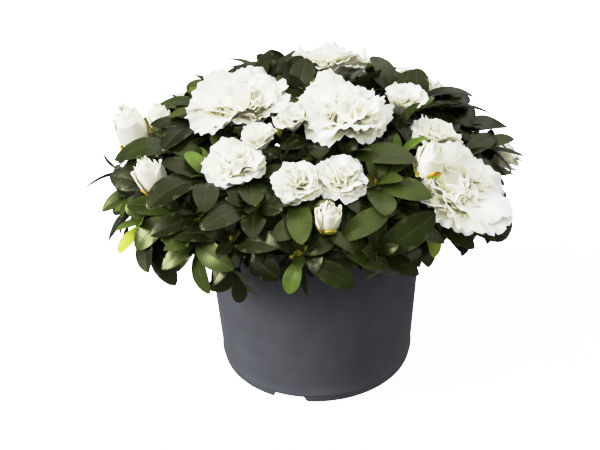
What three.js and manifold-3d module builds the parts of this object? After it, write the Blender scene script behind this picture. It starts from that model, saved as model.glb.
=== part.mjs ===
// A white double azalea in its nursery pot, in millimetres, +Z up. The origin is on the ground under
// the middle of the pot, and -Y is the front.
//
// The pot is a moulded shell with three notches under its foot, filled with peat. A short woody trunk
// forks at once into thin boughs. Each bough ends where it enters one mass of foliage, and each mass is
// one stem that forks into twigs, with a whorl of leaves or a bloom on every tip.
//
// The crown is a low dome. A place on it is given by its azimuth, from 0 at the front to 90 at the
// right, and its rise, from 0 at the dome's widest level to 90 at its top, both in degrees.

import * as THREE from 'three';
import { mergeVertices } from 'three/addons/utils/BufferGeometryUtils.js';
import Module from 'manifold-3d';

const wasm = await Module();
wasm.setup();

const UP = new THREE.Vector3(0, 0, 1);
const GAP = 0.3; // clearance between two solids that touch on the real plant
const SLIVER = 0.03; // edges and slivers finer than this are merged into their neighbours

// The pot
const POT_HEIGHT = 104;
const RIM_RADIUS = 65;
const LIP_HEIGHT = 7;
const LIP_REACH = 1.5; // how far the lip stands out from the wall under it
const LIP_ROUND = 0.8; // radius of the lip's edges
const FOOT_RADIUS = 58.2;
const FOOT_ROUND = 3; // radius of the edge between wall and foot
const WALL = 1.6;
const WALL_TOP = POT_HEIGHT - LIP_HEIGHT; // the wall goes up to the lip
const WALL_LEAN = (RIM_RADIUS - LIP_REACH - FOOT_RADIUS) / WALL_TOP;
const FOOT_INSIDE = FOOT_RADIUS - FOOT_ROUND - 6; // inner radius of the foot ring
const UNDERSIDE = 3; // height of the raised underside, inside the foot ring
const UNDERSIDE_SLOPE = 2; // how far its sides run in as they rise
const FLOOR = 6.5; // height of the pot's floor inside
const PAD_RADIUS = 16; // flat pad in the middle of the underside
const POT_SIDES = 40;
const NOTCH_AZIMUTHS = [-17.5, 102.5, 222.5];
const NOTCH_WIDTH = 23;
const NOTCH_TOP_WIDTH = 17;
const NOTCH_HEIGHT = 4.8;
const NOTCH_DEPTH = 14; // how far it runs in under the pot
const DRAIN_RADIUS = 4;
const DRAIN_SIDES = 12;

// The peat
const PEAT_LEVEL = 93; // at the wall
const PEAT_SHOULDER = 94.4; // in between
const PEAT_CROWN = 95; // at the trunk
const PEAT_MOUND = 17; // radius of the level ground round the trunk's foot
const PEAT_SIDES = 32;

// The trunk and the boughs
const TRUNK_FOOT = PEAT_CROWN + GAP;
const TRUNK_TOP = 122;
const TRUNK_RADIUS = 7.4;
const TRUNK_SIDES = 10;
const FLARE_RADIUS = 13;
const FLARE_HEIGHT = 8;
const TRUNK_TIP_RADIUS = 6.8;
const TRUNK_LEAN = 1.5; // how far its top stands to the right of its foot
const TRUNK_LEVELS = [0, 0.12, 0.3, 0.6, 1]; // shares of its height at which it has a ring
const ROOT_SWELL = 0.16; // share by which the main roots swell out of the foot
const ROOTS = 4;
const BOUGH_SIDES = 6;
const BOUGH_STEPS = 4;
const BOUGH_TIP_RADIUS = 1.7;
const BOUGH_BEND = 0.45; // share of its length over which it keeps the way it left the trunk
const BOUGH_SHARE = 0.5; // of the way from the heart of the crown to the middle of its mass
const TIERS = {
  low: { level: 107, radius: 2.1 },
  middle: { level: 114.5, radius: 2.3 },
  top: { level: TRUNK_TOP, radius: 2.3, ring: 4.2 }, // in a ring on the trunk's flat top
};

// The crown's dome, on which the tips of the shoots lie
const CROWN_LEVEL = 108;
const CROWN_ACROSS = 106;
const CROWN_DEEP = 98;
const CROWN_RISE = 62;
const CROWN_DROP = 30;
const HEART = new THREE.Vector3(0, 0, CROWN_LEVEL + 6); // where the boughs' directions come from
const STEM_SHARE = 0.6; // like BOUGH_SHARE, for the end of a mass's own stem

// Twigs and leaves
const TWIG_SIDES = 3;
const TWIG_STEPS = 2;
const STEM_RADIUS = 1.7;
const STEM_FORKS = [0.45, 0.7, 0.95]; // where along a mass's stem a twig may leave it
const TWIG_FORKS = [0.3, 0.5, 0.7]; // and where along a twig another may
const TWIG_BEND = 0.4; // share of its length over which it already runs the way its tip points
const TURN_COST = 0.6; // how much a twig's sharp turn counts against a fork, beside its length
const TWIG_SHARE = 0.85; // radius of a twig where it leaves a thicker one
const TIP_RADIUS = 0.9;
const SHOOTS = 136; // leafy shoots that the whole crown has room for
const SHOOTS_LOWEST = 0.12; // sine of the rise of the lowest ones
const SHOOTS_EVEN = 0.6; // 1 would crowd them at the crown's widest level, and less moves them to its top
const SHOOT_STRAY = 3; // degrees by which a shoot's place differs from the even pattern
const SHOOT_DEPTH = 8; // most by which a shoot ends under the dome
const COLLAR_SHARE = 0.9; // under a flower that is the share of its reach by which a shoot ends lower
const COLLAR_DEPTH = 20; // but no more than this
const SHOOT_ROOM = 0.5; // least room that a shoot's tip has in its mass's space
const SHOOT_RISE = 0.25; // how much shoots turn upwards from the dome's own direction
const BLOOM_SEAT = 0.28; // share of a flower's diameter that it stands above its twig
const BLOOM_LIFT = 0.12; // and by which its middle stands above the dome
const LEAVES_PER_SHOOT = 6;
const LEAF_LENGTH = 31;
const LEAF_SPREAD = 0.16; // share by which lengths differ
const LEAF_HALF_WIDTH = 0.23; // share of the length
const LEAF_WIDEST = 0.61; // share of the length
const LEAF_TRIES = [1, 0.82, 0.66, 0.5]; // shares of its length at which a leaf may still fit
const LEAF_OPEN = 61; // degrees between a leaf and its shoot
const LEAF_OPEN_STRAY = 8; // degrees
const LEAF_TURN_STRAY = 0.05; // share of the angle between two leaves
const LEAF_ARCH = 0.1; // share of the length
const LEAF_TIP_FALL = 0.05; // share of the length
const LEAF_OUT = 12; // how far a leaf may hang out of its mass's space
const LEAF_LOWEST = 76; // height under which no leaf hangs
const FRONT_RISE = 30; // and by how much that height is greater at the front
const DROOP = 0.18; // how much a leaf's own weight pulls it down
const NOTCH_RADIUS = 1.9; // of a whorl between two of its leaves
const SHOOT_POINT = 3.5; // height of the pointed bud in the middle of a whorl
const GOLDEN = 180 * (3 - Math.sqrt(5)); // degrees from one shoot of the spiral to the next
const SEED = 19;

// Flowers
const BUD_SIDES = 6;
const BUD_LENGTH = 1.45; // share of the diameter
const BUD_RINGS = [[0.36, 0.3], [0.5, 0.48], [0.36, 0.78]]; // radius over diameter, height over length
const FLOWER_TOP = 0.55; // height of a flower's heart, share of its diameter
const SMALL_FLOWER = 35; // diameter up to which a full flower has fewer sides
const SIDES = { small: 12, large: 16, half: 9 };
const PETALS = { full: 5, half: 3 }; // waves round each tier
// Each tier of petals: share of the radius, height over the radius, depth of its ruffle
const TIERS_OF_PETALS = {
  full: [[0.5, 0.16, 0.02], [1.0, 0.56, 0.1], [0.72, 0.62, 0.03], [0.6, 0.92, 0.08], [0.34, 0.82, 0.02]],
  half: [[0.6, 0.16, 0.02], [1.0, 0.8, 0.12], [0.55, 0.86, 0.04]],
};

// Each mass: its middle on the dome, the tier of its bough, and its blooms. A bloom has its place, its
// diameter and how far open it is.
const MASSES = [
  {
    name: 'upper_left', azimuth: -80, rise: 62, tier: 'top',
    blooms: [{ azimuth: -74, rise: 69, diameter: 50, form: 'full' }],
  },
  {
    name: 'upper_front', azimuth: 14, rise: 68, tier: 'top',
    blooms: [
      { azimuth: 25, rise: 69, diameter: 48, form: 'full' },
      { azimuth: -14, rise: 67, diameter: 17, form: 'half' },
    ],
  },
  {
    name: 'upper_right', azimuth: 78, rise: 60, tier: 'top',
    blooms: [{ azimuth: 71, rise: 62, diameter: 21, form: 'half' }],
  },
  {
    name: 'upper_back', azimuth: 164, rise: 62, tier: 'top',
    blooms: [{ azimuth: 166, rise: 60, diameter: 46, form: 'full' }],
  },
  {
    name: 'left_front', azimuth: -33, rise: 46, tier: 'middle',
    blooms: [
      { azimuth: -32, rise: 46, diameter: 29, form: 'full' },
      { azimuth: -27, rise: 57, diameter: 17, form: 'half' },
    ],
  },
  {
    name: 'front', azimuth: 5, rise: 41, tier: 'middle',
    blooms: [
      { azimuth: -6, rise: 42, diameter: 24, form: 'full' },
      { azimuth: 9, rise: 43, diameter: 25, form: 'full' },
    ],
  },
  {
    name: 'right_front', azimuth: 50, rise: 37, tier: 'middle',
    blooms: [
      { azimuth: 55, rise: 31, diameter: 46, form: 'full' },
      { azimuth: 60, rise: 46, diameter: 25, form: 'full' },
      { azimuth: 36, rise: 41, diameter: 13, form: 'bud' },
    ],
  },
  {
    name: 'back_right', azimuth: 110, rise: 36, tier: 'middle',
    blooms: [{ azimuth: 114, rise: 40, diameter: 38, form: 'full' }],
  },
  {
    name: 'back', azimuth: 176, rise: 32, tier: 'middle',
    blooms: [{ azimuth: 170, rise: 32, diameter: 24, form: 'half' }],
  },
  {
    name: 'back_left', azimuth: -124, rise: 36, tier: 'middle',
    blooms: [{ azimuth: -128, rise: 42, diameter: 34, form: 'full' }],
  },
  {
    name: 'left', azimuth: -73, rise: 33, tier: 'middle',
    blooms: [
      { azimuth: -82, rise: 32, diameter: 15, form: 'bud' },
      { azimuth: -86, rise: 41, diameter: 12, form: 'bud' },
      { azimuth: -56, rise: 30, diameter: 14, form: 'bud' },
    ],
  },
  { name: 'skirt_left', azimuth: -64, rise: 3, tier: 'low', blooms: [] },
  { name: 'skirt_front_left', azimuth: -27, rise: 10, tier: 'low', blooms: [] },
  {
    name: 'skirt_front', azimuth: 8, rise: 11, tier: 'low',
    blooms: [{ azimuth: 3, rise: 24, diameter: 12, form: 'bud' }],
  },
  { name: 'skirt_front_right', azimuth: 45, rise: 6, tier: 'low', blooms: [] },
  {
    name: 'skirt_right', azimuth: 88, rise: 5, tier: 'low',
    blooms: [{ azimuth: 92, rise: 14, diameter: 20, form: 'half' }],
  },
  { name: 'skirt_back_right', azimuth: 134, rise: 3, tier: 'low', blooms: [] },
  { name: 'skirt_back', azimuth: 179, rise: 2, tier: 'low', blooms: [] },
  { name: 'skirt_back_left', azimuth: -136, rise: 3, tier: 'low', blooms: [] },
  { name: 'side_left', azimuth: -101, rise: 4, tier: 'low', blooms: [] },
];

const BLOOMS = MASSES.flatMap((mass) => mass.blooms);

const radians = THREE.MathUtils.degToRad;

// Random numbers from 0 to 1 that are the same on every run.
function seeded(seed) {
  let state = seed >>> 0;
  return () => {
    state = (state + 0x6d2b79f5) >>> 0;
    let t = state;
    t = Math.imul(t ^ (t >>> 15), t | 1);
    t ^= t + Math.imul(t ^ (t >>> 7), t | 61);
    return ((t ^ (t >>> 14)) >>> 0) / 4294967296;
  };
}

// Solids

// A geometry's closed surface as a solid that can be joined and cut.
function solidOf(geometry) {
  geometry.deleteAttribute('normal');
  geometry.deleteAttribute('uv');
  const merged = mergeVertices(geometry);
  return new wasm.Manifold(new wasm.Mesh({
    numProp: 3,
    vertProperties: new Float32Array(merged.attributes.position.array),
    triVerts: new Uint32Array(merged.index.array),
  }));
}

function geometryOf(solid) {
  const mesh = solid.getMesh();
  const geometry = new THREE.BufferGeometry();
  geometry.setAttribute('position', new THREE.BufferAttribute(new Float32Array(mesh.vertProperties), 3));
  geometry.setIndex(new THREE.BufferAttribute(new Uint32Array(mesh.triVerts), 1));
  geometry.computeVertexNormals();
  return geometry;
}

// The faces of a band between two rings, each listed from the share of a turn at which its points stand.
function band(low, high) {
  const faces = [];
  const lows = low.length;
  const highs = high.length;
  const shareOf = (ring, k) => (k < ring.length ? ring[k].share : 1 + ring[0].share);
  for (let i = 0, j = 0; i < lows || j < highs;) {
    if (j === highs || (i < lows && shareOf(low, i + 1) <= shareOf(high, j + 1))) {
      faces.push(low[i].index, low[(i + 1) % lows].index, high[j % highs].index);
      i += 1;
    } else {
      faces.push(low[i % lows].index, high[(j + 1) % highs].index, high[j].index);
      j += 1;
    }
  }
  return faces;
}

// A closed surface over rings of points, from a first point to a last one. A ring is a list of points,
// each with the share of a turn at which it stands.
function skin(rings, first, last) {
  const points = [first];
  const numbered = rings.map((ring) => (
    ring.map(({ point, share }) => ({ share, index: points.push(point) - 1 }))));
  const end = points.push(last) - 1;
  const faces = [];
  const fan = (ring, apex, turned) => ring.forEach(({ index }, i) => {
    const next = ring[(i + 1) % ring.length].index;
    faces.push(...(turned ? [apex, next, index] : [index, next, apex]));
  });
  fan(numbered[0], 0, true);
  for (let r = 0; r < numbered.length - 1; r += 1) faces.push(...band(numbered[r], numbered[r + 1]));
  fan(numbered[numbered.length - 1], end, false);
  const geometry = new THREE.BufferGeometry().setFromPoints(points);
  geometry.setIndex(faces);
  return geometry;
}

// A ring round a frame's axis, with its radius and height as functions of the turn in radians.
function ringOf(frame, sides, radiusAt, heightAt = () => 0) {
  return Array.from({ length: sides }, (_, k) => {
    const turn = (2 * Math.PI * k) / sides;
    return { share: k / sides, point: framed(frame, turn, radiusAt(turn, k), heightAt(turn, k)) };
  });
}

// The point at a turn, radius and height in a frame.
function framed(frame, turn, radius, height) {
  return frame.place.clone()
    .addScaledVector(frame.across, Math.cos(turn) * radius)
    .addScaledVector(frame.along, Math.sin(turn) * radius)
    .addScaledVector(frame.axis, height);
}

// The frames along a curve.
function framesOf(curve, steps) {
  const { normals, binormals, tangents } = curve.computeFrenetFrames(steps, false);
  return tangents.map((axis, s) => (
    { place: curve.getPointAt(s / steps), across: normals[s], along: binormals[s], axis }));
}

// The point at a share of the straight stretches between frames.
function alongFrames(frames, share) {
  const step = Math.min(Math.floor(share * (frames.length - 1)), frames.length - 2);
  return frames[step].place.clone().lerp(frames[step + 1].place, share * (frames.length - 1) - step);
}

// The rings of a tapering limb along a curve.
function limbRings(frames, radiusAt, sides) {
  return frames.map((frame, s) => ringOf(frame, sides, () => radiusAt(s / (frames.length - 1))));
}

// A tapering limb, with flat ends square to it.
function limb(frames, radiusAt, sides) {
  return skin(limbRings(frames, radiusAt, sides), frames[0].place, frames.at(-1).place);
}

// The heads of the twigs: each is the rings and the top point that close over a twig's end

// A closed flower, widest under its middle.
function budHead(frame, diameter) {
  const length = diameter * BUD_LENGTH;
  const rings = BUD_RINGS.map(([share, height]) => (
    ringOf(frame, BUD_SIDES, () => share * diameter, () => height * length)));
  return { rings, top: framed(frame, 0, 0, length) };
}

// An open double flower: tiers of ruffled petals round a hollow heart. Its sides stand out and in by
// turns, on top of the wave that its petals make.
function bloomHead(frame, diameter, form, random) {
  const radius = diameter / 2;
  const fullSides = diameter > SMALL_FLOWER ? SIDES.large : SIDES.small;
  const sides = form === 'full' ? fullSides : SIDES.half;
  const rings = TIERS_OF_PETALS[form].map(([share, height, ruffle], tier) => {
    const phase = random() * Math.PI * 2;
    const fringeAt = (k) => (k % 2 ? 0.5 : -0.5);
    const waveAt = (turn, k) => (
      ruffle * (Math.cos(PETALS[form] * turn + phase) + (tier > 0 ? fringeAt(k) : 0)));
    return ringOf(
      frame,
      sides,
      (turn, k) => radius * share * (1 + 0.6 * waveAt(turn, k)),
      (turn, k) => radius * (height + waveAt(turn, k)),
    );
  });
  return { rings, top: framed(frame, 0, 0, diameter * FLOWER_TOP) };
}

// One leaf's outline from its widest point on one side, over its tip, to the other side. It arches, and
// droops at its tip.
function leafOutline(leaf, swell = 0) {
  const side = new THREE.Vector3().crossVectors(leaf.run, leaf.face);
  const half = leaf.length * LEAF_HALF_WIDTH + swell;
  const middle = leaf.foot.clone().addScaledVector(leaf.run, leaf.length * LEAF_WIDEST)
    .addScaledVector(leaf.face, leaf.length * LEAF_ARCH);
  const tip = leaf.foot.clone().addScaledVector(leaf.run, leaf.length + swell)
    .addScaledVector(leaf.face, -leaf.length * LEAF_TIP_FALL);
  return [middle.clone().addScaledVector(side, half), tip, middle.clone().addScaledVector(side, -half)];
}

// The point of a whorl's rim between two of its leaves.
function notchPoint(frame, k) {
  return framed(frame, (2 * Math.PI * k) / LEAVES_PER_SHOOT, NOTCH_RADIUS, 0);
}

// A leaf by itself, a clearance longer, wider and thicker, to try whether it fits.
function leafTrial(frame, leaf, k) {
  const rim = [notchPoint(frame, k), ...leafOutline(leaf, GAP), notchPoint(frame, k + 1)];
  return skin(
    [rim.map((point, place) => ({ point, share: place / rim.length }))],
    framed(frame, 0, 0, -TIP_RADIUS - GAP),
    framed(frame, 0, 0, SHOOT_POINT + GAP),
  );
}

// A whorl of leaves like the spokes of a wheel, round a pointed bud.
function whorlHead(frame, leaves) {
  const rim = [];
  leaves.forEach((leaf, k) => {
    rim.push({ share: k / leaves.length, point: notchPoint(frame, k) });
    if (leaf.fits) {
      leafOutline(leaf)
        .forEach((point, place) => rim.push({ share: (k + (place + 1) / 4) / leaves.length, point }));
    }
  });
  return { rings: [rim], top: framed(frame, 0, 0, SHOOT_POINT) };
}

// The dome

function domePoint(azimuth, rise) {
  const a = radians(azimuth);
  const r = radians(rise);
  const vertical = rise >= 0 ? CROWN_RISE : CROWN_DROP;
  return new THREE.Vector3(
    CROWN_ACROSS * Math.cos(r) * Math.sin(a),
    -CROWN_DEEP * Math.cos(r) * Math.cos(a),
    CROWN_LEVEL + vertical * Math.sin(r),
  );
}

function domeNormal(point) {
  const height = point.z - CROWN_LEVEL;
  const vertical = height >= 0 ? CROWN_RISE : CROWN_DROP;
  return new THREE.Vector3(
    point.x / CROWN_ACROSS ** 2,
    point.y / CROWN_DEEP ** 2,
    height / vertical ** 2,
  ).normalize();
}

// A point or direction with the dome drawn out into a unit sphere.
function unitOf(point) {
  return new THREE.Vector3(
    point.x / CROWN_ACROSS,
    point.y / CROWN_DEEP,
    (point.z - CROWN_LEVEL) / CROWN_RISE,
  );
}

// Each mass's space is the part of the crown that is nearer in direction to its own middle than to any
// other. This is how far a point lies inside that space, in millimetres.
function roomAt(point, mass) {
  const place = unitOf(point);
  let least = Infinity;
  for (const other of MASSES) {
    if (other !== mass) {
      const across = mass.direction.clone().sub(other.direction);
      const steep = Math.hypot(across.x / CROWN_ACROSS, across.y / CROWN_DEEP, across.z / CROWN_RISE);
      least = Math.min(least, across.dot(place) / steep);
    }
  }
  return least;
}

// The pot and what stands in it

const wallAt = (height) => FOOT_RADIUS + WALL_LEAN * height; // outer radius

// A closed profile of radii and heights turned round the pot's axis.
function turned(profile, sides) {
  const points = profile.map(([radius, height]) => new THREE.Vector2(radius, height));
  return solidOf(new THREE.LatheGeometry(points, sides).rotateX(Math.PI / 2));
}

// A trapezoid notch through the foot ring, and a round drain hole behind it, both to be cut out.
function drainCutters(azimuth) {
  const below = 1; // both cutters start under the pot
  const notch = new THREE.Shape([
    new THREE.Vector2(-NOTCH_WIDTH / 2, -below),
    new THREE.Vector2(NOTCH_WIDTH / 2, -below),
    new THREE.Vector2(NOTCH_TOP_WIDTH / 2, NOTCH_HEIGHT),
    new THREE.Vector2(-NOTCH_TOP_WIDTH / 2, NOTCH_HEIGHT),
  ]);
  return [
    new THREE.ExtrudeGeometry(notch, { depth: 2 * NOTCH_DEPTH, bevelEnabled: false })
      .rotateX(Math.PI / 2)
      .translate(0, NOTCH_DEPTH - FOOT_RADIUS, 0),
    new THREE.CylinderGeometry(DRAIN_RADIUS, DRAIN_RADIUS, FLOOR + 2 * below, DRAIN_SIDES)
      .rotateX(Math.PI / 2)
      .translate(0, 1.5 * DRAIN_RADIUS - FOOT_INSIDE, FLOOR / 2),
  ].map((geometry) => solidOf(geometry.rotateZ(radians(azimuth))));
}

function potSolid() {
  const inside = wallAt(WALL_TOP) - WALL;
  const shell = turned([
    [0, 0],
    [PAD_RADIUS, 0],
    [PAD_RADIUS + UNDERSIDE_SLOPE, UNDERSIDE],
    [FOOT_INSIDE - UNDERSIDE_SLOPE, UNDERSIDE],
    [FOOT_INSIDE, 0],
    [FOOT_RADIUS - FOOT_ROUND, 0],
    [wallAt(0) - 0.3 * FOOT_ROUND, 0.3 * FOOT_ROUND],
    [wallAt(FOOT_ROUND), FOOT_ROUND],
    [wallAt(WALL_TOP), WALL_TOP],
    [RIM_RADIUS - LIP_ROUND / 2, WALL_TOP + LIP_ROUND],
    [RIM_RADIUS, POT_HEIGHT - LIP_ROUND],
    [RIM_RADIUS - LIP_ROUND, POT_HEIGHT],
    [inside + LIP_ROUND, POT_HEIGHT],
    [inside, WALL_TOP],
    [wallAt(FLOOR) - WALL, FLOOR],
    [0, FLOOR],
  ], POT_SIDES);
  return NOTCH_AZIMUTHS.flatMap(drainCutters).reduce((pot, cutter) => pot.subtract(cutter), shell);
}

function peatSolid() {
  const insideAt = (height) => wallAt(height) - WALL - 2 * GAP;
  return turned([
    [0, FLOOR + GAP],
    [insideAt(FLOOR), FLOOR + GAP],
    [insideAt(PEAT_LEVEL), PEAT_LEVEL],
    [(PEAT_MOUND + RIM_RADIUS) / 2, PEAT_SHOULDER],
    [PEAT_MOUND, PEAT_CROWN],
    [0, PEAT_CROWN],
  ], PEAT_SIDES);
}

// The middle of the trunk at a height above the ground.
function trunkCentre(height) {
  const share = (height - TRUNK_FOOT) / (TRUNK_TOP - TRUNK_FOOT);
  return new THREE.Vector3(TRUNK_LEAN * share, 0, height);
}

function trunkSolid() {
  const rings = TRUNK_LEVELS.map((share) => {
    const height = share * (TRUNK_TOP - TRUNK_FOOT);
    const flare = Math.max(0, 1 - height / FLARE_HEIGHT) ** 2;
    const taper = (TRUNK_TIP_RADIUS - TRUNK_RADIUS) * share;
    const radius = TRUNK_RADIUS + taper + flare * (FLARE_RADIUS - TRUNK_RADIUS);
    const place = trunkCentre(TRUNK_FOOT + height);
    const frame = { place, across: new THREE.Vector3(1, 0, 0), along: new THREE.Vector3(0, 1, 0), axis: UP };
    return ringOf(frame, TRUNK_SIDES, (turn) => radius * (1 + ROOT_SWELL * flare * Math.cos(ROOTS * turn)));
  });
  return solidOf(skin(rings, trunkCentre(TRUNK_FOOT), trunkCentre(TRUNK_TOP)));
}

// The boughs of one tier leave the trunk evenly round it, in the order of their masses.
function planBoughs() {
  for (const [tierName, tier] of Object.entries(TIERS)) {
    const inTier = MASSES.filter((mass) => mass.tier === tierName).sort((a, b) => a.azimuth - b.azimuth);
    const even = 360 / inTier.length;
    const drift = inTier.reduce((sum, mass, k) => sum + mass.azimuth - k * even, 0) / inTier.length;
    inTier.forEach((mass, k) => {
      const turn = radians(drift + k * even);
      const outwards = new THREE.Vector3(Math.sin(turn), -Math.cos(turn), 0);
      const onTop = tierName === 'top';
      const start = trunkCentre(tier.level).addScaledVector(outwards, onTop ? tier.ring : TRUNK_RADIUS + GAP);
      if (onTop) start.addScaledVector(UP, GAP);
      const end = HEART.clone().lerp(mass.middle, BOUGH_SHARE);
      const bend = start.clone().addScaledVector(onTop ? UP : outwards, start.distanceTo(end) * BOUGH_BEND);
      mass.boughRadius = tier.radius;
      mass.bough = new THREE.QuadraticBezierCurve3(start, bend, end);
      mass.heading = end.clone().sub(bend).normalize();
    });
  }
}

function boughSolid(mass, swell) {
  const radiusAt = (share) => mass.boughRadius + (BOUGH_TIP_RADIUS - mass.boughRadius) * share + swell;
  return solidOf(limb(framesOf(mass.bough, BOUGH_STEPS), radiusAt, BOUGH_SIDES));
}

// The tips of the twigs. Each bloom has one, and the leafy shoots' tips follow a spiral all over the dome.
// Each belongs to the mass in whose space it is. One that comes under a bloom ends lower, so that its
// leaves make the bloom's collar.
function planTips() {
  for (const mass of MASSES) {
    mass.tips = mass.blooms.map((bloom) => {
      const axis = domeNormal(bloom.point).addScaledVector(UP, SHOOT_RISE).normalize();
      bloom.axis = axis;
      const back = bloom.form === 'bud' ? 0 : BLOOM_SEAT * bloom.diameter;
      return { bloom, axis, end: bloom.point.clone().addScaledVector(axis, -back) };
    });
  }
  const random = seeded(SEED);
  const astray = () => SHOOT_STRAY * (2 * random() - 1);
  for (let k = 0; k < SHOOTS; k += 1) {
    const share = (k + 0.5) / SHOOTS;
    const height = 1 - (1 - SHOOTS_LOWEST) * share * (SHOOTS_EVEN + (1 - SHOOTS_EVEN) * share);
    const end = domePoint(k * GOLDEN + astray(), THREE.MathUtils.radToDeg(Math.asin(height)) + astray());
    const out = domeNormal(end);
    const under = BLOOMS.map((bloom) => bloom.diameter / 2 - bloom.point.distanceTo(end));
    const depth = random() * SHOOT_DEPTH + Math.max(0, ...under) * COLLAR_SHARE;
    end.addScaledVector(out, -Math.min(depth, COLLAR_DEPTH));
    const mass = MASSES.find((one) => roomAt(end, one) > SHOOT_ROOM);
    if (mass) mass.tips.push({ bloom: null, axis: out.addScaledVector(UP, SHOOT_RISE).normalize(), end });
  }
}

// The twigs, nearest tip first. Each leaves the stem or an earlier twig at a fork that makes it short
// and straight, and is thinner than what it leaves.
function growTwigs(mass) {
  const foot = mass.bough.v2.clone().addScaledVector(mass.heading, GAP);
  const length = HEART.distanceTo(mass.middle) * (STEM_SHARE - BOUGH_SHARE);
  const end = foot.clone().addScaledVector(mass.heading, length);
  const stem = { frames: framesOf(new THREE.LineCurve3(foot, end), 1), from: STEM_RADIUS, to: STEM_RADIUS };
  const forks = [];
  const addForks = (twig, shares) => shares.forEach((share) => forks.push({
    start: alongFrames(twig.frames, share),
    heading: twig.frames[Math.round(share * (twig.frames.length - 1))].axis,
    radius: twig.from + (twig.to - twig.from) * share,
  }));
  addForks(stem, STEM_FORKS);
  const twigs = [stem];
  const tips = [...mass.tips].sort((a, b) => a.end.distanceTo(end) - b.end.distanceTo(end));
  for (const tip of tips) {
    const costs = forks.map((fork) => {
      const way = tip.end.clone().sub(fork.start);
      return way.length() * (1 + TURN_COST * way.angleTo(fork.heading) ** 2);
    });
    const [fork] = forks.splice(costs.indexOf(Math.min(...costs)), 1);
    const bend = tip.end.clone().addScaledVector(tip.axis, -TWIG_BEND * fork.start.distanceTo(tip.end));
    const curve = new THREE.QuadraticBezierCurve3(fork.start, bend, tip.end);
    const from = Math.max(fork.radius * TWIG_SHARE, TIP_RADIUS);
    const twig = { frames: framesOf(curve, TWIG_STEPS), from, to: TIP_RADIUS, tip };
    addForks(twig, TWIG_FORKS);
    twigs.push(twig);
  }
  return twigs;
}

// The leaves of one shoot. Each is given by its foot, the way it runs, the way it faces and its length.
function planLeaves(frame, random) {
  return Array.from({ length: LEAVES_PER_SHOOT }, (_, k) => {
    const astray = () => 2 * random() - 1;
    const turn = (2 * Math.PI * (k + 0.5 + LEAF_TURN_STRAY * astray())) / LEAVES_PER_SHOOT;
    const open = radians(LEAF_OPEN + LEAF_OPEN_STRAY * astray());
    const length = LEAF_LENGTH * (1 + LEAF_SPREAD * astray());
    const run = framed(frame, turn, Math.sin(open), Math.cos(open)).sub(frame.place)
      .addScaledVector(UP, -DROOP).normalize();
    const face = frame.axis.clone().addScaledVector(run, -frame.axis.dot(run)).normalize();
    return { foot: frame.place, run, face, length, fits: false };
  });
}

function corners(geometry) {
  const { position } = geometry.attributes;
  return Array.from(
    { length: position.count },
    (_, i) => new THREE.Vector3().fromBufferAttribute(position, i),
  );
}

// Every solid that stands already, with its box and the twig that it grows on.
const standing = [];

function keep(solid, twig) {
  standing.push({ solid, twig, box: solid.boundingBox() });
}

// Whether a solid keeps clear of all that stands, apart from its own twig and that twig's leaves.
function isClear(solid, twig) {
  const box = solid.boundingBox();
  const apart = (other) => [0, 1, 2].some((i) => box.max[i] < other.min[i] || other.max[i] < box.min[i]);
  return standing.every((other) => (
    other.twig === twig || apart(other.box) || solid.intersect(other.solid).isEmpty()));
}

// Whether a point hangs over the face of a flower.
function isOverFlower(point) {
  return BLOOMS.some((bloom) => {
    const way = point.clone().sub(bloom.point);
    const along = way.dot(bloom.axis);
    return along > 0 && way.addScaledVector(bloom.axis, -along).length() < bloom.diameter / 2;
  });
}

// Whether a point is under the crown's lower edge, which rises towards the front.
function isTooLow(point) {
  const forward = Math.max(-point.y / CROWN_DEEP, 0);
  return point.z < LEAF_LOWEST + FRONT_RISE * forward ** 2;
}

function hasSpace(point, mass) {
  return roomAt(point, mass) > -LEAF_OUT && !isOverFlower(point) && !isTooLow(point);
}

// Gives a leaf the greatest length at which it stays in its mass's space, clear of the rest and off the
// flowers' faces.
function fitLeaf(leaf, k, twig, mass) {
  const whole = leaf.length;
  for (const share of LEAF_TRIES) {
    leaf.length = whole * share;
    const trial = leafTrial(twig.frames[TWIG_STEPS], leaf, k);
    if (corners(trial).every((point) => hasSpace(point, mass))) {
      const solid = solidOf(trial);
      if (isClear(solid, twig)) {
        leaf.fits = true;
        keep(solid, twig);
        return;
      }
    }
  }
}

// A twig as one surface with what it carries.
function twigSolid(twig, head) {
  const radiusAt = (share) => twig.from + (twig.to - twig.from) * share;
  const rings = limbRings(twig.frames, radiusAt, TWIG_SIDES);
  return solidOf(skin([...rings, ...head.rings], twig.frames[0].place, head.top));
}

// The stem, twigs and flowers of a mass, which its leaves and its neighbours' keep clear of.
function plantTwigs(mass) {
  const random = seeded(mass.seed + 1);
  const [stem, ...twigs] = growTwigs(mass);
  mass.pieces = [solidOf(limb(stem.frames, () => STEM_RADIUS, BOUGH_SIDES))];
  mass.shootTwigs = [];
  keep(mass.pieces[0], stem);
  for (const twig of twigs) {
    const end = twig.frames[TWIG_STEPS];
    const { bloom } = twig.tip;
    if (bloom) {
      const { diameter, form } = bloom;
      const head = form === 'bud' ? budHead(end, diameter) : bloomHead(end, diameter, form, random);
      mass.pieces.push(twigSolid(twig, head));
      keep(mass.pieces.at(-1), twig);
    } else {
      twig.leaves = planLeaves(end, random);
      mass.shootTwigs.push(twig);
      keep(twigSolid(twig, whorlHead(end, twig.leaves)), twig);
    }
  }
}

// A mass as one solid, with no slivers. The largest piece of the union alone is kept: what is sealed
// inside it goes.
function massSolid(mass) {
  const shoots = mass.shootTwigs.map((twig) => {
    twig.leaves.forEach((leaf, k) => fitLeaf(leaf, k, twig, mass));
    return twigSolid(twig, whorlHead(twig.frames[TWIG_STEPS], twig.leaves));
  });
  const pieces = wasm.Manifold.union([...mass.pieces, ...shoots]).simplify(SLIVER).decompose();
  return pieces.sort((a, b) => b.volume() - a.volume())[0];
}

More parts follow.
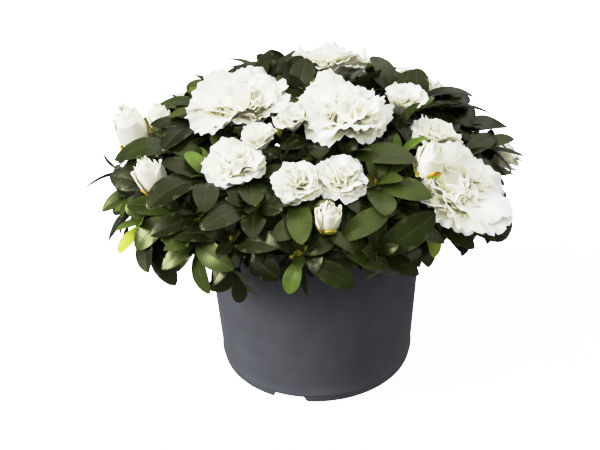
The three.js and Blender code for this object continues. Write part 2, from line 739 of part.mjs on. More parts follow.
// The plant

const MATERIALS = {
  pot: new THREE.MeshStandardMaterial({ color: 0x54575f, roughness: 0.55, metalness: 0 }),
  peat: new THREE.MeshStandardMaterial({ color: 0x2c211a, roughness: 1, metalness: 0 }),
  bark: new THREE.MeshStandardMaterial({ color: 0x5b4634, roughness: 0.9, metalness: 0 }),
  foliage: new THREE.MeshStandardMaterial({ color: 0x2f3f1e, roughness: 0.5, metalness: 0 }),
};

function meshOf(name, solid, material) {
  const mesh = new THREE.Mesh(geometryOf(solid), material.clone());
  mesh.name = name;
  return mesh;
}

function build() {
  const plant = new THREE.Group();
  plant.name = 'azalea';
  MASSES.forEach((mass, index) => {
    mass.seed = SEED * (index + 2);
    mass.middle = domePoint(mass.azimuth, mass.rise);
    mass.direction = unitOf(mass.middle).normalize();
  });
  BLOOMS.forEach((bloom) => {
    const onDome = domePoint(bloom.azimuth, bloom.rise);
    bloom.point = onDome.clone().addScaledVector(domeNormal(onDome), BLOOM_LIFT * bloom.diameter);
  });
  planBoughs();
  planTips();
  const pot = potSolid();
  const trunk = trunkSolid();
  plant.add(meshOf('pot', pot, MATERIALS.pot));
  plant.add(meshOf('peat', peatSolid(), MATERIALS.peat));
  plant.add(meshOf('trunk', trunk, MATERIALS.bark));
  [pot, trunk, ...MASSES.map((mass) => boughSolid(mass, GAP))].forEach((solid) => keep(solid, null));
  MASSES.forEach(plantTwigs);
  for (const mass of MASSES) {
    plant.add(meshOf(`bough_${mass.name}`, boughSolid(mass, 0), MATERIALS.bark));
    plant.add(meshOf(`foliage_${mass.name}`, massSolid(mass), MATERIALS.foliage));
  }
  return plant;
}

export default build();
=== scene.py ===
# A white double azalea in its nursery pot: the looks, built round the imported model.
#
# Sizes are in millimetres until a mesh is made, +Z is up and -Y is the front, as in the part's source.
# The crown grows by that source's rule: boughs from the trunk, a stem in each mass of foliage, twigs
# that fork from it, and a whorl of leaves or a flower on every tip. Here it goes on to side shoots,
# inner leaves, buds, and flowers of single petals. A few flowers stand a little off their solids, where
# the photo shows them.
#
# The crown is a low dome. A place on it is given by its azimuth, from 0 at the front to 90 at the
# right, and its rise, from 0 at the dome's widest level to 90 at its top, both in degrees.

import math
from types import SimpleNamespace as Thing

import bpy
import numpy as np
from mathutils import Matrix, Vector, noise
from mathutils.bvhtree import BVHTree


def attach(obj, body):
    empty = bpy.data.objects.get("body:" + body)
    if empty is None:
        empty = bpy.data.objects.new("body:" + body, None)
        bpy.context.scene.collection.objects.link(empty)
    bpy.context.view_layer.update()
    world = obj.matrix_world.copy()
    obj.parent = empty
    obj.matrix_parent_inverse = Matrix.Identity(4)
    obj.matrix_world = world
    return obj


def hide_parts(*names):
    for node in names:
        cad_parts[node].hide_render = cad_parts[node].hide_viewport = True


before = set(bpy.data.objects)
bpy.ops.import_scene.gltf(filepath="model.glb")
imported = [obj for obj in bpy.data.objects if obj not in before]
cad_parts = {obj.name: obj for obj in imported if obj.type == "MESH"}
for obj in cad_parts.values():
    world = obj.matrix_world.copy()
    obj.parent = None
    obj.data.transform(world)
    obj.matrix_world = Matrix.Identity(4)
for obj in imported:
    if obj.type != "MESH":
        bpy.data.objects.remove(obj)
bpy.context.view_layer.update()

MM = 0.001
UP = np.array([0.0, 0.0, 1.0])
FULL_TURN = 2 * math.pi

# The pot and the peat
POT_HEIGHT = 104
RIM_RADIUS = 65
LIP_HEIGHT = 7
LIP_REACH = 1.5
LIP_ROUND = 0.8
FOOT_RADIUS = 58.2
FOOT_ROUND = 3
FOOT_FLAT = 6
WALL = 1.6
WALL_TOP = POT_HEIGHT - LIP_HEIGHT
WALL_LEAN = (RIM_RADIUS - LIP_REACH - FOOT_RADIUS) / WALL_TOP
FOOT_INSIDE = FOOT_RADIUS - FOOT_ROUND - FOOT_FLAT
FLOOR = 6.5
PEAT_LEVEL = 93
PEAT_CROWN = 95
GAP = 0.3

# The trunk and the boughs
TRUNK_FOOT = PEAT_CROWN + GAP
TRUNK_TOP = 122
TRUNK_RADIUS = 7.4
TRUNK_TIP_RADIUS = 6.8
TRUNK_LEAN = 1.5
BOUGH_SINK = 1
BOUGH_TIP_RADIUS = 1.7
BOUGH_BEND = 0.45
BOUGH_SHARE = 0.5
TIERS = {
    "low": Thing(level=107, radius=2.1, ring=0),
    "middle": Thing(level=114.5, radius=2.3, ring=0),
    "top": Thing(level=TRUNK_TOP, radius=2.3, ring=4.2),
}

# The crown's dome
CROWN_LEVEL = 108
CROWN_ACROSS = 106
CROWN_DEEP = 98
CROWN_RISE = 62
CROWN_DROP = 30
CROWN_SIZE = [CROWN_ACROSS, CROWN_DEEP, CROWN_RISE]
HEART = np.array([0.0, 0.0, CROWN_LEVEL + 6])
STEM_SHARE = 0.6

# Twigs and the tips that they grow to
TWIG_STEPS = 2
STEM_RADIUS = 1.7
STEM_FORKS = (0.45, 0.7, 0.95)
TWIG_FORKS = (0.3, 0.5, 0.7)
TWIG_BEND = 0.4
TURN_COST = 0.6
TWIG_SHARE = 0.85
TIP_RADIUS = 0.9
SHOOTS = 136
SHOOTS_LOWEST = 0.12
SHOOTS_EVEN = 0.6
SHOOT_STRAY = 3
SHOOT_DEPTH = 8
COLLAR_SHARE = 0.9
COLLAR_DEPTH = 20
SHOOT_ROOM = 0.5
SHOOT_RISE = 0.25
BLOOM_SEAT = 0.28
BLOOM_LIFT = 0.12
GOLDEN = 180 * (3 - math.sqrt(5))

# The seed of each kind of random draw. Those of shoots and of flowers are added to their mass's own.
SEED = 19
SHOOT_SEED = 1
FLOWER_SEED = 3
OUTWARD_SEED = SEED + 9
LEAF_SEED = SEED + 5
BUD_SEED = SEED + 7

# Each mass: its name, the azimuth and rise of its middle on the dome, the tier of its bough, and its
# blooms by azimuth, rise, diameter and form
MASSES = [
    Thing(name=name, azimuth=azimuth, rise=rise, tier=tier, blooms=blooms)
    for name, azimuth, rise, tier, blooms in (
        ("upper_left", -80, 62, "top", [(-64, 68, 50, "full")]),
        ("upper_front", 14, 68, "top", [(25, 69, 48, "full"), (-14, 67, 17, "half")]),
        ("upper_right", 78, 60, "top", [(71, 62, 21, "half")]),
        ("upper_back", 164, 62, "top", [(166, 60, 46, "full")]),
        ("left_front", -33, 46, "middle", [(-32, 46, 29, "full"), (-27, 57, 17, "half")]),
        ("front", 5, 41, "middle", [(-6, 42, 24, "full"), (9, 43, 25, "full")]),
        ("right_front", 50, 37, "middle", [(47, 28, 46, "full"), (60, 47, 27, "full"), (39, 36, 14, "bud")]),
        ("back_right", 110, 36, "middle", [(126, 39, 38, "full")]),
        ("back", 176, 32, "middle", [(170, 32, 24, "half")]),
        ("back_left", -124, 36, "middle", [(-128, 42, 34, "full")]),
        ("left", -73, 33, "middle", [(-86, 29, 19, "bud"), (-86, 41, 12, "bud"), (-56, 26, 15, "bud")]),
        ("skirt_left", -64, 3, "low", []),
        ("skirt_front_left", -27, 10, "low", []),
        ("skirt_front", 8, 11, "low", [(3, 24, 12, "bud")]),
        ("skirt_front_right", 45, 6, "low", []),
        ("skirt_right", 88, 5, "low", [(92, 14, 20, "half")]),
        ("skirt_back_right", 134, 3, "low", []),
        ("skirt_back", 179, 2, "low", []),
        ("skirt_back_left", -136, 3, "low", []),
        ("side_left", -101, 4, "low", []),
    )
]


# Random draws

WORD = 0xFFFFFFFF
SEED_STEP = 0x6D2B79F5
ANY_TURN = 6.3


def seeded(seed):
    """Random numbers from 0 to 1, drawn as the part's source draws them."""
    state = seed & WORD

    def draw():
        nonlocal state
        state = (state + SEED_STEP) & WORD
        t = ((state ^ (state >> 15)) * (state | 1)) & WORD
        t ^= (t + ((t ^ (t >> 7)) * (t | 61))) & WORD
        return ((t ^ (t >> 14)) & WORD) / (WORD + 1)

    return draw


def stray(draw, size=1):
    """A random number from -size to size."""
    return size * (2 * draw() - 1)


def pick(items, draw):
    return items[int(draw() * len(items))]


# Directions and frames. A frame is a place with three directions square to each other.

def unit(v):
    return v / np.linalg.norm(v)


def turned(v, axis, angle):
    """A vector turned about an axis by an angle in radians."""
    c, s = math.cos(angle), math.sin(angle)
    return v * c + np.cross(axis, v) * s + axis * (axis @ v) * (1 - c)


def turns(sides):
    """Even turns round a circle, in radians."""
    return np.arange(sides) * FULL_TURN / sides


def spoke(frame_, turn):
    """The direction square to a frame's axis at a turn in radians."""
    return frame_.across * math.cos(turn) + frame_.along * math.sin(turn)


def tilted(frame_, way, place):
    """A frame at a place whose axis is drawn from another frame's axis towards a way."""
    axis = unit(frame_.axis + way)
    across = unit(frame_.across - axis * (frame_.across @ axis))
    return Thing(place=place, across=across, along=np.cross(axis, across), axis=axis)


# The dome

def dome_point(azimuth, rise):
    a, r = math.radians(azimuth), math.radians(rise)
    vertical = CROWN_RISE if rise >= 0 else CROWN_DROP
    return np.array([
        CROWN_ACROSS * math.cos(r) * math.sin(a),
        -CROWN_DEEP * math.cos(r) * math.cos(a),
        CROWN_LEVEL + vertical * math.sin(r),
    ])


def dome_normal(point):
    height = point[2] - CROWN_LEVEL
    vertical = CROWN_RISE if height >= 0 else CROWN_DROP
    return unit(point * [1 / CROWN_ACROSS**2, 1 / CROWN_DEEP**2, 0] + [0, 0, height / vertical**2])


def unit_of(points):
    """Points or directions with the dome drawn out into a unit sphere."""
    return (points - [0, 0, CROWN_LEVEL]) / CROWN_SIZE


def room_at(points, mass):
    """How far points lie inside a mass's own space, where its direction is nearer than any other's."""
    least = np.full(len(points), np.inf)
    places = unit_of(points)
    for other in MASSES:
        if other is not mass:
            across = mass.direction - other.direction
            steep = np.linalg.norm(across / CROWN_SIZE)
            least = np.minimum(least, places @ across / steep)
    return least


# Curves of three points, and frames along them

CURVE_SAMPLES = 201
NO_TURN = 1e-9


def on_curve(curve, t):
    t = np.asarray(t, float)[..., None]
    a, b, c = curve
    return (1 - t) ** 2 * a + 2 * t * (1 - t) * b + t**2 * c


def frames_of(curve, steps):
    """Frames evenly spaced along a curve, each turned no more than the curve turns."""
    fine = np.linspace(0, 1, CURVE_SAMPLES)
    lengths = np.linalg.norm(np.diff(on_curve(curve, fine), axis=0), axis=1)
    run = np.concatenate([[0], np.cumsum(lengths)])
    at = np.interp(np.linspace(0, run[-1], steps + 1), run, fine)
    a, b, c = curve
    frames = []
    for t, place in zip(at, on_curve(curve, at)):
        axis = unit((1 - t) * (b - a) + t * (c - b))
        if not frames:
            start = np.eye(3)[np.argmin(np.abs(axis))]
            across = np.cross(axis, unit(np.cross(axis, start)))
        else:
            last = frames[-1]
            hinge = np.cross(last.axis, axis)
            size = np.linalg.norm(hinge)
            across = last.across
            if size > NO_TURN:
                across = turned(across, hinge / size, math.atan2(size, last.axis @ axis))
        frames.append(Thing(place=place, across=across, along=np.cross(axis, across), axis=axis))
    return frames


def along_frames(frames, share):
    """The point at a share of the straight stretches between frames."""
    step = min(int(share * (len(frames) - 1)), len(frames) - 2)
    part = share * (len(frames) - 1) - step
    return frames[step].place * (1 - part) + frames[step + 1].place * part


# The growth of the crown

def trunk_centre(height):
    share = (height - TRUNK_FOOT) / (TRUNK_TOP - TRUNK_FOOT)
    return np.array([TRUNK_LEAN * share, 0, height])


def plan_boughs():
    """The boughs of one tier leave the trunk evenly round it, in the order of their masses."""
    for tier_name, tier in TIERS.items():
        in_tier = sorted((m for m in MASSES if m.tier == tier_name), key=lambda m: m.azimuth)
        even = 360 / len(in_tier)
        drift = sum(m.azimuth - k * even for k, m in enumerate(in_tier)) / len(in_tier)
        on_top = tier_name == "top"
        ring = tier.ring if on_top else TRUNK_RADIUS - BOUGH_SINK
        for k, mass in enumerate(in_tier):
            turn = math.radians(drift + k * even)
            outwards = np.array([math.sin(turn), -math.cos(turn), 0])
            start = trunk_centre(tier.level) + outwards * ring
            end = HEART * (1 - BOUGH_SHARE) + mass.middle * BOUGH_SHARE
            bend = start + (UP if on_top else outwards) * np.linalg.norm(end - start) * BOUGH_BEND
            mass.bough = (start, bend, end)
            mass.bough_radius = tier.radius
            mass.heading = unit(end - bend)


def plan_tips():
    """The tips of the twigs: one for each bloom, and leafy ones on a spiral all over the dome."""
    for mass in MASSES:
        mass.tips = []
        for bloom in mass.blooms:
            axis = unit(dome_normal(bloom.point) + UP * SHOOT_RISE)
            back = 0 if bloom.form == "bud" else BLOOM_SEAT * bloom.diameter
            mass.tips.append(Thing(bloom=bloom, axis=axis, end=bloom.point - axis * back))
    draw = seeded(SEED)
    blooms = [bloom for mass in MASSES for bloom in mass.blooms]
    for k in range(SHOOTS):
        share = (k + 0.5) / SHOOTS
        height = 1 - (1 - SHOOTS_LOWEST) * share * (SHOOTS_EVEN + (1 - SHOOTS_EVEN) * share)
        azimuth = k * GOLDEN + stray(draw, SHOOT_STRAY)
        rise = math.degrees(math.asin(height)) + stray(draw, SHOOT_STRAY)
        end = dome_point(azimuth, rise)
        out = dome_normal(end)
        under = max([0] + [b.diameter / 2 - np.linalg.norm(b.point - end) for b in blooms])
        depth = draw() * SHOOT_DEPTH + under * COLLAR_SHARE
        end = end - out * min(depth, COLLAR_DEPTH)
        for mass in MASSES:
            if room_at(end[None], mass)[0] > SHOOT_ROOM:
                mass.tips.append(Thing(bloom=None, axis=unit(out + UP * SHOOT_RISE), end=end))
                break


def grow_twigs(mass):
    """The twigs, nearest tip first, each from the fork that makes it short and straight."""
    foot = mass.bough[2]
    length = np.linalg.norm(mass.middle - HEART) * (STEM_SHARE - BOUGH_SHARE)
    end = foot + mass.heading * length
    stem = Thing(curve=(foot, (foot + end) / 2, end), start=STEM_RADIUS, end=STEM_RADIUS, tip=None)
    stem.coarse = frames_of(stem.curve, 1)
    forks = []

    def add_forks(twig, shares):
        for share in shares:
            forks.append(Thing(
                twig=twig,
                share=share,
                place=along_frames(twig.coarse, share),
                heading=twig.coarse[int(share * (len(twig.coarse) - 1) + 0.5)].axis,
                radius=twig.start + (twig.end - twig.start) * share,
            ))

    add_forks(stem, STEM_FORKS)
    mass.twigs = [stem]
    for tip in sorted(mass.tips, key=lambda t: np.linalg.norm(t.end - end)):
        def cost(fork):
            way = tip.end - fork.place
            size = np.linalg.norm(way)
            return size * (1 + TURN_COST * math.acos(min(1, way @ fork.heading / size)) ** 2)

        fork = forks.pop(min(range(len(forks)), key=lambda f: cost(forks[f])))
        bend = tip.end - tip.axis * TWIG_BEND * np.linalg.norm(tip.end - fork.place)
        coarse = frames_of((fork.place, bend, tip.end), TWIG_STEPS)
        start = on_curve(fork.twig.curve, fork.share)
        radius = max(fork.radius * TWIG_SHARE, TIP_RADIUS)
        twig = Thing(curve=(start, bend, tip.end), coarse=coarse, start=radius, end=TIP_RADIUS, tip=tip)
        add_forks(twig, TWIG_FORKS)
        mass.twigs.append(twig)


def grow_crown():
    for index, mass in enumerate(MASSES):
        mass.seed = SEED * (index + 2)
        mass.middle = dome_point(mass.azimuth, mass.rise)
        mass.direction = unit(unit_of(mass.middle))
        mass.blooms = [Thing(azimuth=a, rise=r, diameter=d, form=form) for a, r, d, form in mass.blooms]
        for bloom in mass.blooms:
            on_dome = dome_point(bloom.azimuth, bloom.rise)
            bloom.point = on_dome + dome_normal(on_dome) * BLOOM_LIFT * bloom.diameter
    plan_boughs()
    plan_tips()
    for mass in MASSES:
        grow_twigs(mass)


# Heaps of small closed surfaces that become one mesh

class Heap:
    def __init__(self):
        self.points = []
        self.faces = {}
        self.kinds = {}
        self.count = 0

    def add(self, points, *faces_and_kinds):
        """Adds points, then pairs of faces (one row of point numbers each) and their materials' numbers."""
        points = np.asarray(points, float).reshape(-1, 3)
        for faces, kinds in faces_and_kinds:
            faces = np.asarray(faces)
            size = faces.shape[1]
            self.faces.setdefault(size, []).append(faces + self.count)
            self.kinds.setdefault(size, []).append(np.broadcast_to(kinds, len(faces)))
        self.points.append(points)
        self.count += len(points)

    def skin(self, rings, kinds):
        """A closed surface over rings (rings, sides, 3). kinds is one number, or one for each side."""
        rows, sides, _ = rings.shape
        at = np.arange(rows * sides).reshape(rows, sides)
        following = np.roll(at, -1, axis=1)
        quads = np.stack([at[:-1], following[:-1], following[1:], at[1:]], -1).reshape(-1, 4)
        kinds = np.broadcast_to(kinds, sides)
        ends = np.stack([at[0][::-1], at[-1]])
        self.add(rings, (quads, np.tile(kinds, rows - 1)), (ends, kinds[-1]))

    def slab(self, upper, lower, kinds):
        """A closed thin piece between two grids (rows, columns, 3) of the same size."""
        rows, columns, _ = upper.shape
        top = np.arange(rows * columns).reshape(rows, columns)
        low = top + rows * columns
        faces = np.stack([top[:-1, :-1], top[:-1, 1:], top[1:, 1:], top[1:, :-1]], -1).reshape(-1, 4)
        under = np.stack([low[:-1, :-1], low[1:, :-1], low[1:, 1:], low[:-1, 1:]], -1).reshape(-1, 4)
        rim = np.concatenate([top[0], top[1:, -1], top[-1, -2::-1], top[-2:0:-1, 0]])
        rim_low = rim + rows * columns
        edge = np.stack([np.roll(rim, -1), rim, rim_low, np.roll(rim_low, -1)], -1)
        self.add(
            np.concatenate([upper.reshape(-1, 3), lower.reshape(-1, 3)]),
            (faces, kinds), (under, kinds), (edge, np.max(kinds)),
        )

    def mesh(self, name, sharp):
        """The heap as one smooth mesh, with sharp edges from an angle in degrees on."""
        mesh = bpy.data.meshes.new(name)
        points = np.concatenate(self.points) * MM
        sizes = sorted(self.faces)
        faces = {size: np.concatenate(self.faces[size]) for size in sizes}
        kinds = np.concatenate([np.concatenate(self.kinds[size]) for size in sizes])
        counts = np.concatenate([np.full(len(faces[size]), size) for size in sizes])
        corners = np.concatenate([faces[size].ravel() for size in sizes])
        mesh.vertices.add(len(points))
        mesh.vertices.foreach_set("co", points.ravel())
        mesh.loops.add(len(corners))
        mesh.loops.foreach_set("vertex_index", corners)
        mesh.polygons.add(len(counts))
        mesh.polygons.foreach_set("loop_start", np.concatenate([[0], np.cumsum(counts)[:-1]]))
        mesh.polygons.foreach_set("material_index", kinds)
        mesh.update(calc_edges=True)
        mesh.shade_smooth()
        mesh.set_sharp_from_angle(angle=math.radians(sharp))
        return mesh


LUMPS_ROUND = 1.05


def tube(heap, curve, start, end, sides, steps, rough=0.0):
    """A tapering limb along a curve, its bark uneven by a share of its radius."""
    turn = turns(sides)[:, None]
    rings = []
    for s, frame_ in enumerate(frames_of(curve, steps)):
        radius = start + (end - start) * s / steps
        out = frame_.across * np.cos(turn) + frame_.along * np.sin(turn)
        ring = frame_.place + out * radius
        if rough:
            lumps = [noise.noise(Vector(p * LUMPS_ROUND / radius)) for p in ring]
            ring = ring + out * radius * rough * np.array(lumps)[:, None]
        rings.append(ring)
    heap.skin(np.array(rings), 0)


# Leaves

# Each tint of leaf has three materials: its upper side, its rib and its underside.
LEAF_SIDES = np.array([2, 2, 2, 0, 0, 1, 0, 0, 2])
DARK, MID, OLIVE, BRONZE, LIME, YOUNG = range(6)
TINTS = (DARK, DARK, DARK, DARK, DARK, MID, MID, MID, OLIVE, OLIVE)

# A leaf's grid: shares of its length, and of its half width on the upper side and on the underside
LEAF_ROWS = np.array([0, 0.06, 0.17, 0.3, 0.44, 0.58, 0.7, 0.81, 0.9, 0.96, 1.0])
LEAF_COLUMNS = np.array([-1, -0.55, -0.04, 0.04, 0.55, 1])
UNDER_COLUMNS = np.array([0.55, 0, -0.55])
LEAF_THICK = 0.35
STALK_WIDTH = 0.09
STALK_LEAST = 0.01
ARCH_UP = 4.6
ARCH_DOWN = 5.1
QUILT_FROM = 0.3
QUILT_TO = 0.9
QUILT_FADE = 4

# What wanders from leaf to leaf, with its middle and how far it strays. Breadth, arch, fold and curl are
# shares of the leaf's size, and turns are in radians. The end is blunt where point is about 0.5.
LEAF_HABITS = {
    "breadth": (0.22, 0.0396),
    "point": (0.725, 0.175),
    "arch": (0.1, 0.04),
    "fold": (0.22, 0.06),
    "curl": (0.16, 0.06),
    "twist": (0, 0.3),
    "roll": (0, 0.32),
}
QUILT = 0.009

# The coarse grid that a leaf is tried with, and the shares of its length and tilts that are tried
TRIAL_ROWS = (0.3, 0.55, 0.8, 1.0)
TRIAL_COLUMNS = (-1, 0, 1)
TRIAL_FACES = [
    (r * 3 + c, r * 3 + c + 1, r * 3 + c + 4, r * 3 + c + 3) for r in range(3) for c in range(2)
]
LEAF_TRIES = (
    (1, 0), (1, 10), (1, -10), (0.85, 0), (0.85, 14), (0.85, -14), (0.7, 0), (0.7, 12), (0.58, 0),
)

# How far a leaf may leave its mass's space, and where the crown's sides and its lower edge are
LEAF_OUT = 12
CROWN_MIDDLE = -4
CROWN_REACH = 1.08
REACH_STRAY = 0.08
LEAF_LOWEST = 76
EDGE_RISE = 30
EDGE_AZIMUTH = math.radians(22)
HANG_STRAY = 5
RIM_ROOM = 1

# The space of a bloom: a bowl from below its middle up to its full width, in shares of its radius
BLOOM_BELOW = {"bud": -0.2, "half": -0.45, "full": -0.45}
BOWL_WIDE_AT = 0.1
BOWL_FOOT = 0.55
BOWL_WIDTH = 1.02

# Leaves that stand out by their colour in the photo
ACCENTS = [
    Thing(place=dome_point(azimuth, rise), tint=tint, free=True) for azimuth, rise, tint in (
        (-67, -12, LIME), (33, 2, LIME), (-60, 2, LIME), (-92, 14, BRONZE), (-84, 20, BRONZE),
        (-55, -4, BRONZE), (-6, 1, YOUNG),
    )
]
ACCENT_REACH = 13


def half_width(t, point):
    """Half a leaf's width at shares of its length, over its greatest: a stalk, then an oval."""
    widest = 1 / (1 + point)
    oval = t / widest * np.maximum((1 - t) / (1 - widest), 0) ** point
    return np.maximum(oval, STALK_WIDTH * (1 - t) + STALK_LEAST)


def leaf_grid(leaf, rows, columns):
    """Points of a leaf's upper side: it arches, folds up from its rib and curls down at its edges."""
    t = np.asarray(rows, float)[:, None, None]
    c = np.asarray(columns, float)[None, :, None]
    half = leaf.length * leaf.breadth * half_width(t, leaf.point)
    twist = leaf.twist * t
    side = np.cross(leaf.run, leaf.face)
    rise = leaf.length * leaf.arch * (ARCH_UP * t - ARCH_DOWN * t**2)
    slope = np.arctan(leaf.arch * (ARCH_UP - 2 * ARCH_DOWN * t))
    normal = leaf.face * np.cos(slope) - leaf.run * np.sin(slope)
    across = side * np.cos(twist) + normal * np.sin(twist)
    normal = normal * np.cos(twist) - side * np.sin(twist)
    lift = half * (leaf.fold * np.abs(c) - leaf.curl * c**2)
    quilted = (QUILT_FROM < np.abs(c)) * (np.abs(c) < QUILT_TO)
    quilt = np.cos(np.arange(len(rows)) * math.pi)[:, None, None] * quilted
    lift = lift + quilt * leaf.quilt * np.minimum(1, QUILT_FADE * (1 - t))
    return leaf.foot + leaf.run * leaf.length * t + leaf.face * rise + across * half * c + normal * lift


def in_bloom(points):
    """Whether any point is inside a flower or hangs over its face."""
    for mass in MASSES:
        for bloom in mass.blooms:
            way = points - bloom.point
            along = way @ bloom.axis
            out = np.linalg.norm(way - along[:, None] * bloom.axis, axis=1)
            radius = bloom.diameter / 2
            below = BLOOM_BELOW[bloom.form]
            reach = np.interp(along / radius, [below, BOWL_WIDE_AT], [BOWL_FOOT, BOWL_WIDTH])
            if np.any((along > below * radius) & (out < reach * radius)):
                return True
    return False


def in_pot(points):
    """Whether any point is in the pot's wall or under its rim inside it."""
    out = np.hypot(points[:, 0], points[:, 1])
    wall = FOOT_RADIUS + WALL_LEAN * points[:, 2] + LIP_REACH + RIM_ROOM
    return np.any((points[:, 2] < POT_HEIGHT + RIM_ROOM) & (out < wall))


def is_beyond(points, extra):
    """Whether any point leaves the crown at its sides or hangs below it. Some leaves may reach further."""
    x, y = (points[:, 0] - CROWN_MIDDLE) / CROWN_ACROSS, points[:, 1] / CROWN_DEEP
    out = np.hypot(x, y)
    forward = np.maximum(x * math.sin(EDGE_AZIMUTH) - y * math.cos(EDGE_AZIMUTH), 0)
    lowest = LEAF_LOWEST + EDGE_RISE * forward**2 - HANG_STRAY * extra
    return np.any((out > CROWN_REACH + REACH_STRAY * extra) | (points[:, 2] < lowest))


class Standing:
    """The leaves that stand already, which the next ones keep clear of."""

    def __init__(self):
        self.boxes = np.zeros((0, 6))
        self.trees = []

    def keep(self, points, faces):
        self.boxes = np.vstack([self.boxes, np.concatenate([points.min(0), points.max(0)])])
        self.trees.append(BVHTree.FromPolygons(points.tolist(), faces))

    def is_clear(self, points, faces):
        low, high = points.min(0), points.max(0)
        near = np.all((self.boxes[:, :3] < high) & (self.boxes[:, 3:] > low), axis=1).nonzero()[0]
        tree = BVHTree.FromPolygons(points.tolist(), faces)
        return not any(tree.overlap(self.trees[i]) for i in near)


def accent_at(middle, tint):
    """The colour of a leaf with its middle here: the first one near an accent's place takes its tint."""
    for accent in ACCENTS:
        if accent.free and np.linalg.norm(middle - accent.place) < ACCENT_REACH:
            accent.free = False
            return accent.tint
    return tint


def place_leaf(heap, standing, shoot, spec, mass):
    """Puts a leaf on a shoot where it fits, shorter or turned a little if it must be."""
    stem = shoot.frame.axis
    for share, tilt in LEAF_TRIES:
        opened = math.radians(spec.open + tilt)
        outwards = spoke(shoot.frame, spec.turn)
        leaf = Thing(**vars(spec))
        leaf.length *= share
        leaf.quilt *= share
        leaf.run = unit(outwards * math.sin(opened) + stem * math.cos(opened) - UP * spec.droop)
        leaf.face = turned(unit(stem - leaf.run * (stem @ leaf.run)), leaf.run, spec.roll)
        trial = leaf_grid(leaf, TRIAL_ROWS, TRIAL_COLUMNS).reshape(-1, 3)
        if np.min(room_at(trial, mass)) < -LEAF_OUT or is_beyond(trial, spec.reach):
            continue
        if in_pot(trial) or in_bloom(trial) or not standing.is_clear(trial, TRIAL_FACES):
            continue
        standing.keep(trial, TRIAL_FACES)
        tint = accent_at(trial.mean(0), spec.tint)
        upper = leaf_grid(leaf, LEAF_ROWS, LEAF_COLUMNS)
        under = leaf_grid(leaf, LEAF_ROWS, UNDER_COLUMNS) - leaf.face * LEAF_THICK
        heap.skin(np.concatenate([upper, under], axis=1)[:, ::-1], LEAF_SIDES + tint * 3)
        return


# Whorls

LEAF_LENGTH = 31
LEAF_SPREAD = 0.2
LEAF_OPEN_STRAY = 8
LEAF_TURN_STRAY = 0.05
DROOP = 0.18


def leaves(turn, count, length, open_, back=0, phase=0, droop=DROOP, young=0, breadth=None, reach=0):
    """A kind of whorl: in which turn it is placed, its leaves, and how far back on the shoot they sit."""
    return Thing(turn=turn, count=count, length=length, open=open_, back=back, phase=phase, droop=droop,
                 young=young, breadth=breadth, reach=reach)


# The whorls of each form of shoot. A share of the second whorls is young and bright.
WHORLS = {
    "upright": [leaves(0, 6, 25, 24, droop=0, breadth=0.28)],
    "outward": [leaves(0, 2, 30, 9, droop=0, breadth=0.17, reach=3)],
    "tip": [
        leaves(1, 6, LEAF_LENGTH, 61),
        leaves(2, 4, LEAF_LENGTH * 0.55, 34, -0.6, 0.5, 0.05, young=0.25),
        leaves(3, 4, LEAF_LENGTH * 0.95, 82, 5, 0.3, DROOP * 1.5),
    ],
    "side": [leaves(4, 5, LEAF_LENGTH * 0.68, 62)],
}


def whorl(shoot, kind, tint, draw):
    foot = shoot.frame.place - shoot.frame.axis * kind.back
    specs = []
    for k in range(kind.count):
        turn = FULL_TURN * (k + 0.5 + kind.phase + stray(draw, LEAF_TURN_STRAY)) / kind.count
        opened = kind.open + stray(draw, LEAF_OPEN_STRAY)
        length = kind.length * (1 + stray(draw, LEAF_SPREAD))
        habits = {name: middle + stray(draw, size) for name, (middle, size) in LEAF_HABITS.items()}
        reach = kind.reach + stray(draw)
        if kind.breadth:
            habits["breadth"] = kind.breadth
        specs.append(Thing(foot=foot, turn=turn, open=opened, length=length, droop=kind.droop, tint=tint,
                           quilt=QUILT * length, reach=reach, **habits))
    return specs


def leafed(heaps):
    """All the leaves: first the outer whorls everywhere, then what still fits among them."""
    draw = seeded(LEAF_SEED)
    whorls = []
    for mass in MASSES:
        for shoot in mass.shoots:
            own = seeded(OUTWARD_SEED) if shoot.form == "outward" else draw
            for kind in WHORLS[shoot.form]:
                young = kind.young and draw() < kind.young
                specs = whorl(shoot, kind, YOUNG if young else shoot.tint, own)
                whorls.append((kind.turn, mass, shoot, specs))
    whorls.sort(key=lambda one: one[0])
    standing = Standing()
    for _, mass, shoot, specs in whorls:
        for spec in specs:
            place_leaf(heaps[mass.tier], standing, shoot, spec, mass)


# Shoots

TIP_RISE = 0.3
BUD_RISE = 1.1
SIDE_SHOOTS = (0.4, 0.6, 0.8)
SIDE_PLACES = 10
SIDE_ONWARD = 0.7
SIDE_LENGTH = 9
SIDE_LENGTH_MORE = 8
SIDE_INSIDE = 0.93
SIDE_OUTWARD = 0.6
SIDE_RISE = 0.3
SIDE_BEND = 4
SIDE_STEPS = 4

# Shoots that the photo shows in their own places, by azimuth and rise, and how far under the dome they
# end: upright ones with round leaves between and behind the top flowers, and one with narrow leaves
# that reaches out at the left
PLACED = [
    Thing(form="upright", sink=8, tint=DARK,
          places=[(-104, 85.4), (129, 84.5), (94, 74), (97, 55), (-150, 66)]),
    Thing(form="outward", sink=4, tint=BRONZE, places=[(-90, 17)]),
]


